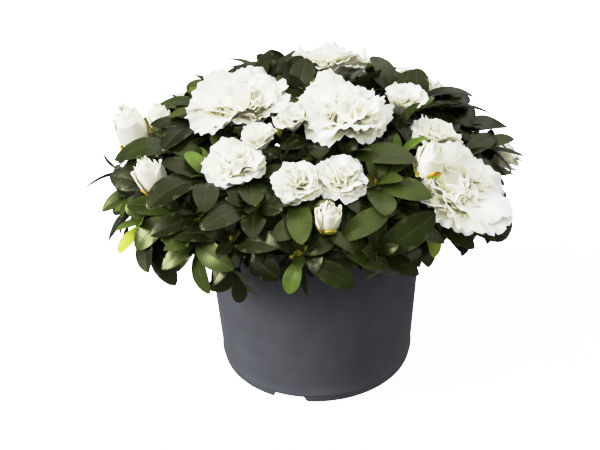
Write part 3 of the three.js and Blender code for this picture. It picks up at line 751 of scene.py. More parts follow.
def plan_shoots(mass):
    """Leafy shoots: the tips of the mass's own twigs, and finer side shoots lower on them."""
    draw = seeded(mass.seed + SHOOT_SEED)
    mass.shoots = []
    mass.side_twigs = []
    for twig in mass.twigs[1:]:
        end = frames_of(twig.curve, TWIG_STEPS)[-1]
        bloom = twig.tip.bloom
        if bloom:
            bloom.frame = tilted(end, UP * BUD_RISE, end.place) if bloom.form == "bud" else end
            bloom.axis = bloom.frame.axis
        else:
            end = tilted(end, UP * TIP_RISE, end.place)
            mass.shoots.append(Thing(frame=end, form="tip", tint=pick(TINTS, draw)))
        frames = frames_of(twig.curve, SIDE_PLACES)
        for share in SIDE_SHOOTS:
            fork = frames[int(share * SIDE_PLACES)]
            way = unit(fork.axis * SIDE_ONWARD + spoke(fork, draw() * FULL_TURN))
            tip = fork.place + way * (SIDE_LENGTH + SIDE_LENGTH_MORE * draw())
            if room_at(tip[None], mass)[0] < 0 or np.linalg.norm(unit_of(tip)) > SIDE_INSIDE:
                continue
            axis = unit(way + dome_normal(tip) * SIDE_OUTWARD + UP * SIDE_RISE)
            curve = (fork.place, tip - axis * SIDE_BEND, tip)
            mass.side_twigs.append(curve)
            end = frames_of(curve, SIDE_STEPS)[-1]
            mass.shoots.append(Thing(frame=end, form="side", tint=pick(TINTS, draw)))


def plan_placed():
    """Each placed shoot stands on a fine twig from the middle of the nearest twig of its mass."""
    for kind in PLACED:
        for azimuth, rise in kind.places:
            on_dome = dome_point(azimuth, rise)
            tip = on_dome - dome_normal(on_dome) * kind.sink
            way = UP if kind.form == "upright" else unit(tip * [1, 1, 0])
            mass = max(MASSES, key=lambda m: room_at(tip[None], m)[0])
            starts = [on_curve(twig.curve, 0.5) for twig in mass.twigs]
            start = min(starts, key=lambda p: np.linalg.norm(p - tip))
            curve = (start, tip - way * TWIG_BEND * np.linalg.norm(tip - start), tip)
            mass.side_twigs.append(curve)
            mass.shoots.append(Thing(frame=frames_of(curve, SIDE_STEPS)[-1], form=kind.form, tint=kind.tint))


# Flowers

PETAL, CREAM, HEART_GREEN, BRACT, BRACT_TIP, BUD_WHITE, BUD_FOOT = range(7)

# The shape of a petal: its rows and thickness, the lobes and frill of its margin, and its ruffle. The
# powers say how closely each wave keeps to the margin.
PETAL_THICK = 0.4
THICK_FOOT = 1.2
PETAL_START = 0.04
ROWS_INWARD = 0.8
PETAL_FOOT = 0.06
LOBES = ((0.05, 2.6), (0.03, 7))
MARGIN_FRILL = 0.024
FRILLS_PER_MM = 0.9
FRILL_SHIFT = 0.9
FRILL_SHIFTS = 5
FRILL_DEPTH = 0.028
FRILL_POWER = 6
MARGIN_POWER = 5
MARGIN_PHASE = 1.6
MARGIN_FINER = 0.6
MARGIN_FINER_WAVES = 1.9
SIDES_SHORT = 0.34
BEND_STEPS = 60
BEND_REACH = 1.3
WRAP_LEAST = 0.35
RUFFLE_POWER = 1.8
EDGE_RUFFLE = 0.4
EDGE_POWER = 3.5
EDGE_WAVES = 2.3
EDGE_SLANT = 2


def petal(heap, frame_, turn, spec, draw, fine):
    """One petal as a fan that bends outwards, wraps round the flower's axis and ruffles at its margin."""
    fan = np.linspace(-1, 1, 3 * fine + 1)[None, :]
    share = np.linspace(PETAL_START, 1, fine - 1)[:, None] ** ROWS_INWARD
    spread = fan * math.radians(spec.fan)
    phases = [draw() * FULL_TURN for _ in range(5)]
    shift = FRILL_SHIFT * np.sin(FRILL_SHIFTS * fan + phases[1])
    frill = FRILLS_PER_MM * spec.length * fan + phases[2] + shift
    lobes = sum(size * np.sin(count * fan + phase) for (size, count), phase in zip(LOBES, phases))
    waves = np.sin(frill + MARGIN_PHASE) + MARGIN_FINER * np.sin(MARGIN_FINER_WAVES * frill)
    edge = MARGIN_FRILL * share**MARGIN_POWER * waves
    reach = spec.length * (1 - SIDES_SHORT * np.abs(fan) ** 3) * (1 + lobes + edge)
    x = share * reach * np.sin(spread)
    y = share * reach * np.cos(spread)

    steps = np.linspace(0, BEND_REACH * spec.length, BEND_STEPS)
    bend = (steps / spec.length) ** spec.late
    angle = np.radians(spec.foot_open + (spec.open - spec.foot_open) * bend)
    run_out = np.concatenate([[0], np.cumsum(np.sin(angle[:-1]) * steps[1])])
    run_up = np.concatenate([[0], np.cumsum(np.cos(angle[:-1]) * steps[1])])
    out = np.interp(y, steps, run_out) + spec.foot_radius
    up = np.interp(y, steps, run_up) + spec.foot_height
    lean = np.interp(y, steps, angle)

    curve = spec.wrap / np.maximum(out, WRAP_LEAST * spec.length)
    side = np.sin(x * curve) / curve
    ruffle = share**RUFFLE_POWER * np.sin(spec.waves * fan + phases[3])
    finer = EDGE_WAVES * spec.waves * fan + phases[4] + EDGE_SLANT * share
    ruffle = ruffle + EDGE_RUFFLE * share**EDGE_POWER * np.sin(finer)
    inward = (
        (1 - np.cos(x * curve)) / curve + spec.ruffle * spec.length * ruffle + spec.twist * x * share
        + FRILL_DEPTH * spec.length * share**FRILL_POWER * np.sin(frill)
    )
    outwards = spoke(frame_, turn)
    sideways = np.cross(frame_.axis, outwards)
    normal = -np.cos(lean)[..., None] * outwards + np.sin(lean)[..., None] * frame_.axis
    grid = (frame_.place + outwards * out[..., None] + frame_.axis * up[..., None]
            + sideways * side[..., None] + normal * inward[..., None])
    thick = PETAL_THICK * (THICK_FOOT - share)[..., None]
    kinds = np.repeat(np.where(share[:-1, 0] < spec.heart, spec.heart_kind, PETAL), 3 * fine)
    heap.slab(grid[:, ::-1], (grid - normal * thick)[:, ::-1], kinds)


def layer(count, length, open_, fan, ruffle, wrap, foot_open, waves=4.2, late=0.8, height=0.0, heart=0.0,
          heart_kind=CREAM):
    """A ring of petals. Lengths are shares of the flower's radius, and angles are in degrees."""
    return Thing(
        count=count, length=length, open=open_, fan=fan, ruffle=ruffle, wrap=wrap, foot_open=foot_open,
        waves=waves, late=late, height=height, heart=heart, heart_kind=heart_kind,
    )


LAYERS = {
    "full": [
        layer(6, 1.18, 100, 46, 0.08, 0.15, 26, late=0.9),
        layer(6, 1.16, 84, 48, 0.09, 0.2, 24, late=0.9, height=0.03),
        layer(5, 1.12, 66, 50, 0.10, 0.3, 20, height=0.05, heart=0.25),
        layer(5, 1.06, 48, 52, 0.12, 0.4, 14, height=0.07, heart=0.35),
        layer(4, 0.96, 32, 54, 0.14, 0.4, 8, 4.8, height=0.08, heart=0.5),
        layer(3, 0.78, 16, 56, 0.16, 0.4, 4, 5.0, height=0.1, heart=0.5, heart_kind=HEART_GREEN),
    ],
    "half": [
        layer(5, 1.62, 66, 44, 0.07, 0.5, 14),
        layer(5, 1.56, 46, 46, 0.09, 0.6, 12, height=0.05),
        layer(4, 1.42, 28, 48, 0.11, 0.6, 8, height=0.06, heart=0.4),
        layer(3, 1.22, 12, 50, 0.12, 0.5, 4, height=0.08, heart=0.55),
    ],
}

# The middle of a full flower over a certain size is parted into a few smaller hearts.
PARTED = 27
PARTS = 3
PART_LEAN = 0.36
PART_OUT = 0.24
PART_SIZE = 0.86
PART_SIZE_MORE = 0.08
PART_COARSER = 4
OUTER_LAYERS = 3
PART_LAYERS = [
    layer(4, 0.98, 44, 50, 0.13, 0.4, 12, 4.8, height=0.05, heart=0.3),
    layer(3, 0.90, 26, 54, 0.16, 0.4, 6, 5.0, height=0.08, heart=0.4),
    layer(2, 0.74, 10, 56, 0.18, 0.4, 2, 5.0, height=0.1, heart=0.45, heart_kind=HEART_GREEN),
]

# How finely flowers over each diameter are made, and how far petals hang on large and on small ones
FINENESS = ((35, 12), (22, 10), (0, 8))
LARGE = 40
HANG_LARGE = 0.36
HANG_SMALL = 0.08
HANG_OPEN = 30

# How petals stray within their ring
LENGTH_STRAY = 0.12
OPEN_STRAY = 12
OPEN_BY_TURNS = 4
TWIST_STRAY = 0.16
PLACE_STRAY = 0.2
RING_STRAY = 0.4


def rosette(heap, frame_, radius, layers, turn, hang, fine, draw):
    """Rings of petals, each turned against the last."""
    for spec in layers:
        for k in range(spec.count):
            one = Thing(**vars(spec))
            one.length *= radius * (1 + stray(draw, LENGTH_STRAY))
            one.open += stray(draw, OPEN_STRAY) + (OPEN_BY_TURNS if k % 2 else -OPEN_BY_TURNS)
            one.foot_radius = PETAL_FOOT * radius
            one.foot_height = spec.height * radius
            one.twist = stray(draw, TWIST_STRAY)
            at = turn + FULL_TURN * (k + stray(draw, PLACE_STRAY)) / spec.count
            down = max(0, -spoke(frame_, at)[2])
            one.length *= 1 + hang * down
            one.open += HANG_OPEN * hang * down
            petal(heap, frame_, at, one, draw, fine)
        turn += math.pi / spec.count + RING_STRAY * draw()


def flower(heap, bloom, draw):
    fine = next(fine for diameter, fine in FINENESS if bloom.diameter > diameter)
    hang = HANG_LARGE if bloom.diameter > LARGE else HANG_SMALL
    radius = bloom.diameter / 2
    turn = draw() * ANY_TURN
    layers = LAYERS[bloom.form]
    parted = bloom.form == "full" and bloom.diameter > PARTED
    rosette(heap, bloom.frame, radius, layers[:OUTER_LAYERS] if parted else layers, turn, hang, fine, draw)
    for k in range(PARTS if parted else 0):
        side = spoke(bloom.frame, turn + FULL_TURN * (k + PLACE_STRAY * draw()) / PARTS)
        inner = tilted(bloom.frame, side * PART_LEAN, bloom.frame.place + side * PART_OUT * radius)
        size = radius * (PART_SIZE + PART_SIZE_MORE * draw())
        rosette(heap, inner, size, PART_LAYERS, turn + k, 0, fine - PART_COARSER, draw)


# Buds

# Half a bud's width at shares of its height, over its radius. Its petals close in from the belly on.
BUD_PROFILE = ([0, 0.1, 0.25, 0.45, 0.7], [0.34, 0.62, 0.86, 0.98, 1])
BUD_BELLY = 0.4
BUD_CLOSING = 1.6
BUD_RUFFLE = 0.06
BUD_SPIRAL = 0.07
BUD_EDGE_SHORT = 0.05
BUD_EDGE_WAVE = 0.6
BUD_THICK = PETAL_THICK * 0.8
BUD_HEIGHT = 1.4
BUD_PETALS_FINE = 9
SCALES_FINE = 5
NARROWEST = 0.02
NO_WIDTH = 1e-6

# Rings of a bud's petals, from the middle outwards. Radius and height are shares of the bud's own, and
# the tip is a share of the ring's radius.
BUD_RINGS = [
    Thing(radius=0.6, part=1.1, count=3, reach=75, tip=0.3),
    Thing(radius=0.8, part=1.02, count=3, reach=72, tip=0.55),
    Thing(radius=0.94, part=0.92, count=3, reach=64, tip=0.78),
    Thing(radius=1.04, part=0.78, count=2, reach=56, tip=1.02),
]
BUD_RING_TURN = 1.1
BUD_PART_STRAY = 0.08
BUD_SCALES = 4
BUD_SCALES_TURN = 0.4
BUD_SCALES_STRAY = 0.3

# Shoots with a cluster of young buds, by the azimuth and rise that they are nearest to
BUDDING = ((-26, 33), (-42, 29), (-24, 17), (-0.5, 17), (18, 45), (37, 32))
BUDDING_SHARE = 0.3
LARGE_YOUNG = Thing(radius=2.3, length=7.5, count=8)
SMALL_YOUNG = Thing(radius=1.7, length=6, count=8)
SIDE_YOUNG = Thing(radius=1.7, length=6, count=6)
SIDE_BUD_LEAN = 0.9
SIDE_BUD_OUT = 1.5


def bud_petal(heap, frame_, turn, spec, draw, fine):
    """One petal of a bud: it wraps round from the bud's foot, tucks under the next and ends in a ruffle."""
    share = np.linspace(0, 1, fine + 3)[:, None]
    across = np.linspace(-1, 1, fine)[None, :]
    closing = (np.maximum(share - BUD_BELLY, 0) / (1 - BUD_BELLY)) ** BUD_CLOSING
    profile = np.interp(share * spec.part, *BUD_PROFILE) * (1 + (spec.tip - 1) * closing)
    spread = math.radians(spec.reach) * np.sqrt(np.maximum(1 - spec.point * share**5, NARROWEST))
    theta = turn + across * spread
    ruffle = BUD_RUFFLE * share**3 * np.sin(5 * across + draw() * ANY_TURN)
    out = spec.radius * profile * (1 + BUD_SPIRAL * across + ruffle)
    edge = 1 - BUD_EDGE_SHORT * np.abs(across) + BUD_EDGE_WAVE * ruffle
    up = spec.start + spec.height * spec.part * share * edge
    where = (frame_.place + frame_.across * (out * np.cos(theta))[..., None]
             + frame_.along * (out * np.sin(theta))[..., None] + frame_.axis * up[..., None])
    inside = (where - frame_.place - frame_.axis * ((where - frame_.place) @ frame_.axis)[..., None])
    inside = inside / np.maximum(np.linalg.norm(inside, axis=-1, keepdims=True), NO_WIDTH)
    rows = np.repeat(np.where(share[:-1, 0] < spec.foot_share, spec.foot_kind, spec.kind), fine - 1)
    heap.slab(where, where - inside * BUD_THICK, rows)


def bud(heap, bloom, draw):
    """A white bud about to open: petals wrapped round one another in a few yellow-green and orange scales."""
    radius = bloom.diameter / 2
    height = bloom.diameter * BUD_HEIGHT
    turn = draw() * ANY_TURN
    for index, ring in enumerate(BUD_RINGS):
        for k in range(ring.count):
            part = ring.part * (1 + stray(draw, BUD_PART_STRAY))
            one = Thing(
                radius=radius * ring.radius, height=height, part=part, reach=ring.reach, tip=ring.tip,
                point=0.4, start=0, kind=BUD_WHITE, foot_kind=BUD_FOOT, foot_share=0.2,
            )
            at = turn + index * BUD_RING_TURN + k * FULL_TURN / ring.count
            bud_petal(heap, bloom.frame, at, one, draw, BUD_PETALS_FINE)
    for k in range(BUD_SCALES):
        one = Thing(
            radius=radius * 1.14, height=height, part=0.3 + 0.26 * draw(), reach=36, tip=0.98, point=1,
            start=-0.6, kind=BRACT_TIP, foot_kind=BRACT, foot_share=0.55 + 0.3 * draw(),
        )
        at = turn + BUD_SCALES_TURN + (k + BUD_SCALES_STRAY * draw()) * FULL_TURN / BUD_SCALES
        bud_petal(heap, bloom.frame, at, one, draw, SCALES_FINE)


def young_bud(heap, frame_, size, draw):
    """A pointed young bud of scales wrapped round one another, the outer ones short and open."""
    turn = draw() * ANY_TURN
    for k in range(size.count):
        outer = k / (size.count - 1)
        one = Thing(
            radius=size.radius * (0.5 + 0.5 * outer), height=size.length, part=1 - 0.5 * outer,
            reach=70 - 20 * outer, tip=0.2 + 0.85 * outer, point=1, start=0,
            kind=BRACT_TIP, foot_kind=BRACT, foot_share=0.7 + 0.3 * draw(),
        )
        bud_petal(heap, frame_, turn + k * math.radians(GOLDEN), one, draw, SCALES_FINE)


def add_young_buds(heap):
    """Young buds in the middle of some whorls, and clusters of three where the photo shows them."""
    draw = seeded(BUD_SEED)
    shoots = [shoot for mass in MASSES for shoot in mass.shoots if shoot.form == "tip"]
    places = [dome_point(azimuth, rise) for azimuth, rise in BUDDING]
    clusters = [min(shoots, key=lambda shoot: np.linalg.norm(shoot.frame.place - place)) for place in places]
    for shoot in shoots:
        middle = shoot.frame
        if any(shoot is other for other in clusters):
            young_bud(heap, middle, LARGE_YOUNG, draw)
            for half_turns in (0, 1):
                side = spoke(middle, draw() + math.pi * half_turns)
                beside = tilted(middle, side * SIDE_BUD_LEAN, middle.place + side * SIDE_BUD_OUT)
                young_bud(heap, beside, SIDE_YOUNG, draw)
        elif draw() < BUDDING_SHARE:
            young_bud(heap, middle, SMALL_YOUNG, draw)


# Materials

BUMP_DEPTH = 0.001
PETAL_DEPTH = 0.0006
PETAL_LIGHT = (1.0, 0.95, 0.85)
RAMP = (0.35, 0.65)
LEAF_GLOSS = (1.0, 1.0, 0.62)

# The colour of each tint of leaf, in the order of the tints, and what its rib and underside make of it
LEAF_TONES = {
    "dark": (0.0086, 0.0108, 0.0022),
    "mid": (0.0175, 0.0250, 0.0045),
    "olive": (0.0330, 0.0460, 0.0080),
    "bronze": (0.032, 0.021, 0.011),
    "lime": (0.260, 0.330, 0.034),
    "young": (0.065, 0.100, 0.014),
}
RIB_TONE = (0.8, (0.018, 0.024, 0.006))
UNDER_TONE = (0.6, (0.026, 0.032, 0.014))


def paint(name, low, high, scale, rough, bump=0.0, bump_scale=1.0, specular=0.5, subsurface=0.0,
          rough_range=0.0, stretch=None, gloss=None, glow=0.0):
    """A material whose colour wanders between two tones, with a fine relief."""
    mat = bpy.data.materials.new(name)
    mat.use_nodes = True
    tree = mat.node_tree
    shader = tree.nodes["Principled BSDF"]

    def fill(node, **values):
        for key, value in values.items():
            node.inputs[key.replace("_", " ")].default_value = value

    def add(kind, source=None, socket="Vector", **values):
        node = tree.nodes.new(kind)
        fill(node, **values)
        if source:
            tree.links.new(source, node.inputs[socket])
        return node

    source = add("ShaderNodeTexCoord").outputs["Object"]
    if stretch:
        source = add("ShaderNodeMapping", source, Scale=stretch).outputs["Vector"]
    cloud = add("ShaderNodeTexNoise", source, Scale=scale, Detail=5)
    ramp = add("ShaderNodeValToRGB", cloud.outputs["Fac"], "Fac")
    for stop, place, colour in zip(ramp.color_ramp.elements, RAMP, (low, high)):
        stop.position = place
        stop.color = (*colour, 1)
    tree.links.new(ramp.outputs["Color"], shader.inputs["Base Color"])
    fill(shader, Specular_IOR_Level=specular)
    if rough_range:
        spread = add("ShaderNodeMapRange", cloud.outputs["Fac"], "Value",
                     To_Min=rough - rough_range, To_Max=rough + rough_range)
        tree.links.new(spread.outputs["Result"], shader.inputs["Roughness"])
    else:
        fill(shader, Roughness=rough)
    if gloss:
        fill(shader, Specular_Tint=(*gloss, 1))
    if glow:
        fill(shader, Emission_Color=(1, 1, 1, 1), Emission_Strength=glow)
    if subsurface:
        fill(shader, Subsurface_Weight=subsurface, Subsurface_Radius=PETAL_LIGHT,
             Subsurface_Scale=PETAL_DEPTH)
    if bump:
        grain = add("ShaderNodeTexNoise", source, Scale=bump_scale, Detail=6)
        relief = add("ShaderNodeBump", grain.outputs["Fac"], "Height", Strength=bump, Distance=BUMP_DEPTH)
        tree.links.new(relief.outputs["Normal"], shader.inputs["Normal"])
    return mat


def two_tones(tone, spread):
    """A darker and a lighter tone round a middle one, by a share of it."""
    return tuple(c * (1 - spread) for c in tone), tuple(c * (1 + spread) for c in tone)


def leaf_materials():
    made = []
    for name, tone in LEAF_TONES.items():
        rib, under = (
            tuple(share * c + d for c, d in zip(tone, added)) for share, added in (RIB_TONE, UNDER_TONE)
        )
        made += [
            paint(f"leaf_{name}", *two_tones(tone, 0.35), 60, 0.28, 0.07, 420, 0.25, rough_range=0.1,
                  gloss=LEAF_GLOSS),
            paint(f"rib_{name}", *two_tones(rib, 0.15), 90, 0.4, 0.1, 600, 0.2),
            paint(f"underleaf_{name}", *two_tones(under, 0.15), 90, 0.65, 0.1, 600, 0.12),
        ]
    return made


def flower_materials():
    """The materials of petals and buds, in the order of their numbers."""
    return [
        paint("petal", (0.90, 0.875, 0.69), (0.95, 0.925, 0.76), 120, 0.6, 0.12, 500, 0.2, subsurface=1.0),
        paint("petal_cream", (0.88, 0.865, 0.65), (0.93, 0.92, 0.73), 120, 0.6, 0.1, 500, 0.3,
              subsurface=0.6),
        paint("petal_heart", (0.66, 0.68, 0.30), (0.82, 0.82, 0.55), 200, 0.6, 0.1, 500, 0.2, subsurface=0.3),
        paint("bract", (0.26, 0.35, 0.030), (0.50, 0.52, 0.050), 260, 0.45, 0.1, 600, 0.25),
        paint("bract_tip", (0.45, 0.19, 0.02), (0.66, 0.50, 0.04), 260, 0.45, 0.1, 600, 0.25),
        paint("bud_white", (0.88, 0.86, 0.70), (0.94, 0.92, 0.78), 90, 0.55, 0.1, 500, 0.25),
        paint("bud_foot", (0.76, 0.76, 0.50), (0.88, 0.87, 0.70), 90, 0.55, 0.1, 500, 0.25),
    ]


def pot_material():
    return paint("pot_plastic", (0.068, 0.071, 0.082), (0.082, 0.086, 0.099), 55, 0.5, 0.05, 1500, 0.12,
                 rough_range=0.06)


def peat_material():
    return paint("peat", (0.016, 0.010, 0.006), (0.045, 0.030, 0.019), 220, 0.95, 0.8, 420, 0.15)


def bark_material():
    return paint("bark", (0.055, 0.036, 0.022), (0.17, 0.12, 0.075), 240, 0.85, 0.6, 500, 0.2,
                 stretch=(1, 1, 0.3))


def twig_material():
    return paint("twig_bark", (0.075, 0.062, 0.026), (0.13, 0.10, 0.045), 200, 0.7, 0.3, 700, 0.3)


def floor_material():
    return paint("floor", (0.90, 0.90, 0.90), (0.92, 0.92, 0.92), 3, 0.9, specular=0.1, glow=2.2)


# Pieces, with the angle in degrees from which an edge of each is sharp

SHARP = {"pot": 30, "cut_pot": 32, "peat": 180, "wood": 60, "leaves": 55, "flowers": 80}
# How far the ends of a turned profile stay from its axis
NEAR_AXIS = 0.02

UNDERSIDE = 3
UNDERSIDE_SLOPE = 2
PAD_RADIUS = 16
PAD_ROUND = 0.8
FOOT_BEVEL = 0.9
POT_SIDES = 144
# The step over the pot's foot: heights, and how far it stands proud of the wall there
FOOT_STEP = ((5.6, 0.02), (6.1, 0.5), (6.7, 0.5), (8.0, 0))
WALL_RINGS = range(14, 90, 6)
UNDER_LIP_IN = 0.1
UNDER_LIP_DOWN = 0.3
NOTCH_AZIMUTHS = (-17.5, 102.5, 222.5)
NOTCH_WIDTH = 23
NOTCH_TOP_WIDTH = 17
NOTCH_HEIGHT = 4.8
NOTCH_DEPTH = 14
DRAIN_RADIUS = 4
DRAIN_SIDES = 24

PEAT_SIDES = 96
PEAT_RINGS = 34
# Sizes of the peat's crumbs, as how often they come in a millimetre, and their heights
CRUMBS = ((0.09, 1.2), (0.279, 0.9), (0.72, 0.5))
CRUMBS_SUNK = 0.6
CRUMBS_HIGHEST = 1.5
PEAT_EDGE = 4

FLARE_RADIUS = 13
FLARE_HEIGHT = 8
ROOT_SWELL = 0.16
ROOTS = 4
TRUNK_SIDES = 36
TRUNK_RINGS = 22
RINGS_LOW = 1.3
FISSURES_ROUND = 4.5
FISSURES_UP = 0.16
FISSURE_DEPTH = 0.7
TRUNK_SINK = 2
BOUGH_ROUGH = 0.3
TWIG_ROUGH = 0.12
SIDE_TWIG_START = TIP_RADIUS * 0.9
SIDE_TWIG_END = TIP_RADIUS * 0.6


def add_object(name, data):
    made = bpy.data.objects.new(name, data)
    bpy.context.scene.collection.objects.link(made)
    return made


def piece(name, mesh, materials, nodes):
    for mat in materials:
        mesh.materials.append(mat)
    made = add_object(name, mesh)
    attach(made, "root")
    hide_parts(*nodes)
    return made


def nodes_of(*tiers):
    return [f"foliage_{mass.name}" for tier in tiers for mass in MASSES if mass.tier == tier]


def wall_at(height):
    return FOOT_RADIUS + WALL_LEAN * height


def arc(radius, height, size, start, end, steps=5):
    """Points of a profile's round edge, from one angle to another in degrees."""
    turn = np.radians(np.linspace(start, end, steps))
    return [(radius + size * math.cos(a), height + size * math.sin(a)) for a in turn]


def lathe(profile, sides):
    """Rings of a profile that starts and ends beside the axis."""
    turn = turns(sides)
    profile = np.array(profile)
    return np.stack([
        profile[:, :1] * np.cos(turn), profile[:, :1] * np.sin(turn), np.repeat(profile[:, 1:], sides, 1),
    ], -1)


def prism(ends):
    """Points and faces of a closed block between two outlines with as many points each."""
    count = len(ends[0])
    faces = [tuple(range(count)), tuple(range(2 * count - 1, count - 1, -1))]
    faces += [(k, k + count, (k + 1) % count + count, (k + 1) % count) for k in range(count)]
    return ends[0] + ends[1], faces


def cutter_mesh():
    """The three notches through the foot ring and the drain holes behind them."""
    outline = [
        (-NOTCH_WIDTH / 2, -1), (NOTCH_WIDTH / 2, -1),
        (NOTCH_TOP_WIDTH / 2, NOTCH_HEIGHT), (-NOTCH_TOP_WIDTH / 2, NOTCH_HEIGHT),
    ]
    depths = (-FOOT_RADIUS - NOTCH_DEPTH, -FOOT_RADIUS + NOTCH_DEPTH)
    notch = prism([[(x, y, z) for x, z in outline] for y in depths])
    centre = 1.5 * DRAIN_RADIUS - FOOT_INSIDE
    drain = prism([
        [(DRAIN_RADIUS * math.cos(a), centre + DRAIN_RADIUS * math.sin(a), z) for a in turns(DRAIN_SIDES)]
        for z in (FLOOR + 1, -1)
    ])
    points, faces = [], []
    for azimuth in NOTCH_AZIMUTHS:
        spin = Matrix.Rotation(math.radians(azimuth), 4, "Z")
        for some_points, some_faces in (notch, drain):
            faces += [tuple(i + len(points) for i in face) for face in some_faces]
            points += [spin @ Vector(p) * MM for p in some_points]
    mesh = bpy.data.meshes.new("cutter")
    mesh.from_pydata(points, [], faces)
    return mesh


def pot_profile():
    """Half the pot's section, from the middle of its underside round the wall and back inside."""
    inside = wall_at(WALL_TOP) - WALL
    corner = wall_at(FLOOR) - WALL
    return [
        (NEAR_AXIS, 0), (PAD_RADIUS - 1, 0),
        *arc(PAD_RADIUS - PAD_ROUND, PAD_ROUND, PAD_ROUND, -90, 0, 4)[1:],
        (PAD_RADIUS + UNDERSIDE_SLOPE, UNDERSIDE), (FOOT_INSIDE - UNDERSIDE_SLOPE, UNDERSIDE),
        (FOOT_INSIDE, FOOT_BEVEL), (FOOT_INSIDE + FOOT_BEVEL, 0), (FOOT_RADIUS - FOOT_ROUND, 0),
        *arc(wall_at(FOOT_ROUND) - FOOT_ROUND, FOOT_ROUND, FOOT_ROUND, -90, -4, 8)[1:],
        *[(wall_at(z) + proud, z) for z, proud in FOOT_STEP],
        *[(wall_at(z), z) for z in WALL_RINGS],
        (wall_at(WALL_TOP) - UNDER_LIP_IN, WALL_TOP - UNDER_LIP_DOWN),
        *arc(RIM_RADIUS - LIP_ROUND, WALL_TOP + LIP_ROUND, LIP_ROUND, -90, 0),
        *arc(RIM_RADIUS - LIP_ROUND, POT_HEIGHT - LIP_ROUND, LIP_ROUND, 0, 90),
        *arc(inside + LIP_ROUND, POT_HEIGHT - LIP_ROUND, LIP_ROUND, 90, 180),
        (inside, WALL_TOP), (corner, FLOOR + 1), (corner - 1, FLOOR), (NEAR_AXIS, FLOOR),
    ]


def make_pot():
    heap = Heap()
    heap.skin(lathe(pot_profile(), POT_SIDES), 0)
    pot = piece("pot_shell", heap.mesh("pot_shell", SHARP["pot"]), [pot_material()], ["pot"])
    cutter = add_object("cutter", cutter_mesh())
    cut = pot.modifiers.new("notches", "BOOLEAN")
    cut.operation = "DIFFERENCE"
    cut.solver = "EXACT"
    cut.use_self = True
    cut.object = cutter
    graph = bpy.context.evaluated_depsgraph_get()
    made = bpy.data.meshes.new_from_object(pot.evaluated_get(graph))
    pot.modifiers.clear()
    pot.data = made
    made.shade_smooth()
    made.set_sharp_from_angle(angle=math.radians(SHARP["cut_pot"]))
    bpy.data.objects.remove(cutter)


def make_peat():
    low = FLOOR + 2 * GAP
    inner = wall_at(PEAT_LEVEL) - WALL - GAP
    radii = np.linspace(inner, NEAR_AXIS, PEAT_RINGS)
    levels = PEAT_LEVEL + (PEAT_CROWN - PEAT_LEVEL) * (1 - radii / inner)
    profile = [(NEAR_AXIS, low), (wall_at(low) - WALL - 2 * GAP, low), *zip(radii, levels)]
    rings = lathe(profile, PEAT_SIDES)
    for ring in rings[2:]:
        for point in ring:
            crumbs = sum(noise.noise(Vector(point) * often) * height for often, height in CRUMBS)
            edge = min(1.0, (inner - math.hypot(point[0], point[1])) / PEAT_EDGE)
            point[2] = min(point[2] + crumbs * edge - CRUMBS_SUNK, PEAT_CROWN + CRUMBS_HIGHEST)
    heap = Heap()
    heap.skin(rings, 0)
    piece("peat_fill", heap.mesh("peat_fill", SHARP["peat"]), [peat_material()], ["peat"])


def make_wood():
    """The trunk and the boughs, with the relief of their bark."""
    heap = Heap()
    rings = []
    turn = turns(TRUNK_SIDES)
    for share in np.linspace(0, 1, TRUNK_RINGS) ** RINGS_LOW:
        height = share * (TRUNK_TOP - TRUNK_FOOT)
        flare = max(0, 1 - height / FLARE_HEIGHT) ** 2
        radius = TRUNK_RADIUS + (TRUNK_TIP_RADIUS - TRUNK_RADIUS) * share
        radius += flare * (FLARE_RADIUS - TRUNK_RADIUS)
        around = radius * (1 + ROOT_SWELL * flare * np.cos(ROOTS * turn))
        fissures = [
            noise.noise((FISSURES_ROUND * math.cos(a), FISSURES_ROUND * math.sin(a), FISSURES_UP * height))
            for a in turn
        ]
        around = around + FISSURE_DEPTH * np.array(fissures)
        centre = trunk_centre(TRUNK_FOOT + height)
        rings.append(centre + np.stack([around * np.cos(turn), around * np.sin(turn), 0 * turn], -1))
    rings[0][:, 2] = PEAT_CROWN - TRUNK_SINK
    heap.skin(np.array(rings), 0)
    for mass in MASSES:
        tube(heap, mass.bough, mass.bough_radius, BOUGH_TIP_RADIUS, sides=10, steps=14, rough=BOUGH_ROUGH)
    boughs = [f"bough_{mass.name}" for mass in MASSES]
    piece("wood", heap.mesh("wood", SHARP["wood"]), [bark_material()], ["trunk", *boughs])


def make_twigs():
    heap = Heap()
    for mass in MASSES:
        for twig in mass.twigs:
            tube(heap, twig.curve, twig.start, twig.end, sides=6, steps=7, rough=TWIG_ROUGH)
        for curve in mass.side_twigs:
            tube(heap, curve, SIDE_TWIG_START, SIDE_TWIG_END, sides=5, steps=3)
    piece("twigs", heap.mesh("twigs", SHARP["wood"]), [twig_material()], nodes_of(*TIERS))


def make_leaves():
    heaps = {tier: Heap() for tier in TIERS}
    leafed(heaps)
    materials = leaf_materials()
    for tier, heap in heaps.items():
        name = f"leaves_{tier}"
        piece(name, heap.mesh(name, SHARP["leaves"]), materials, nodes_of(tier))


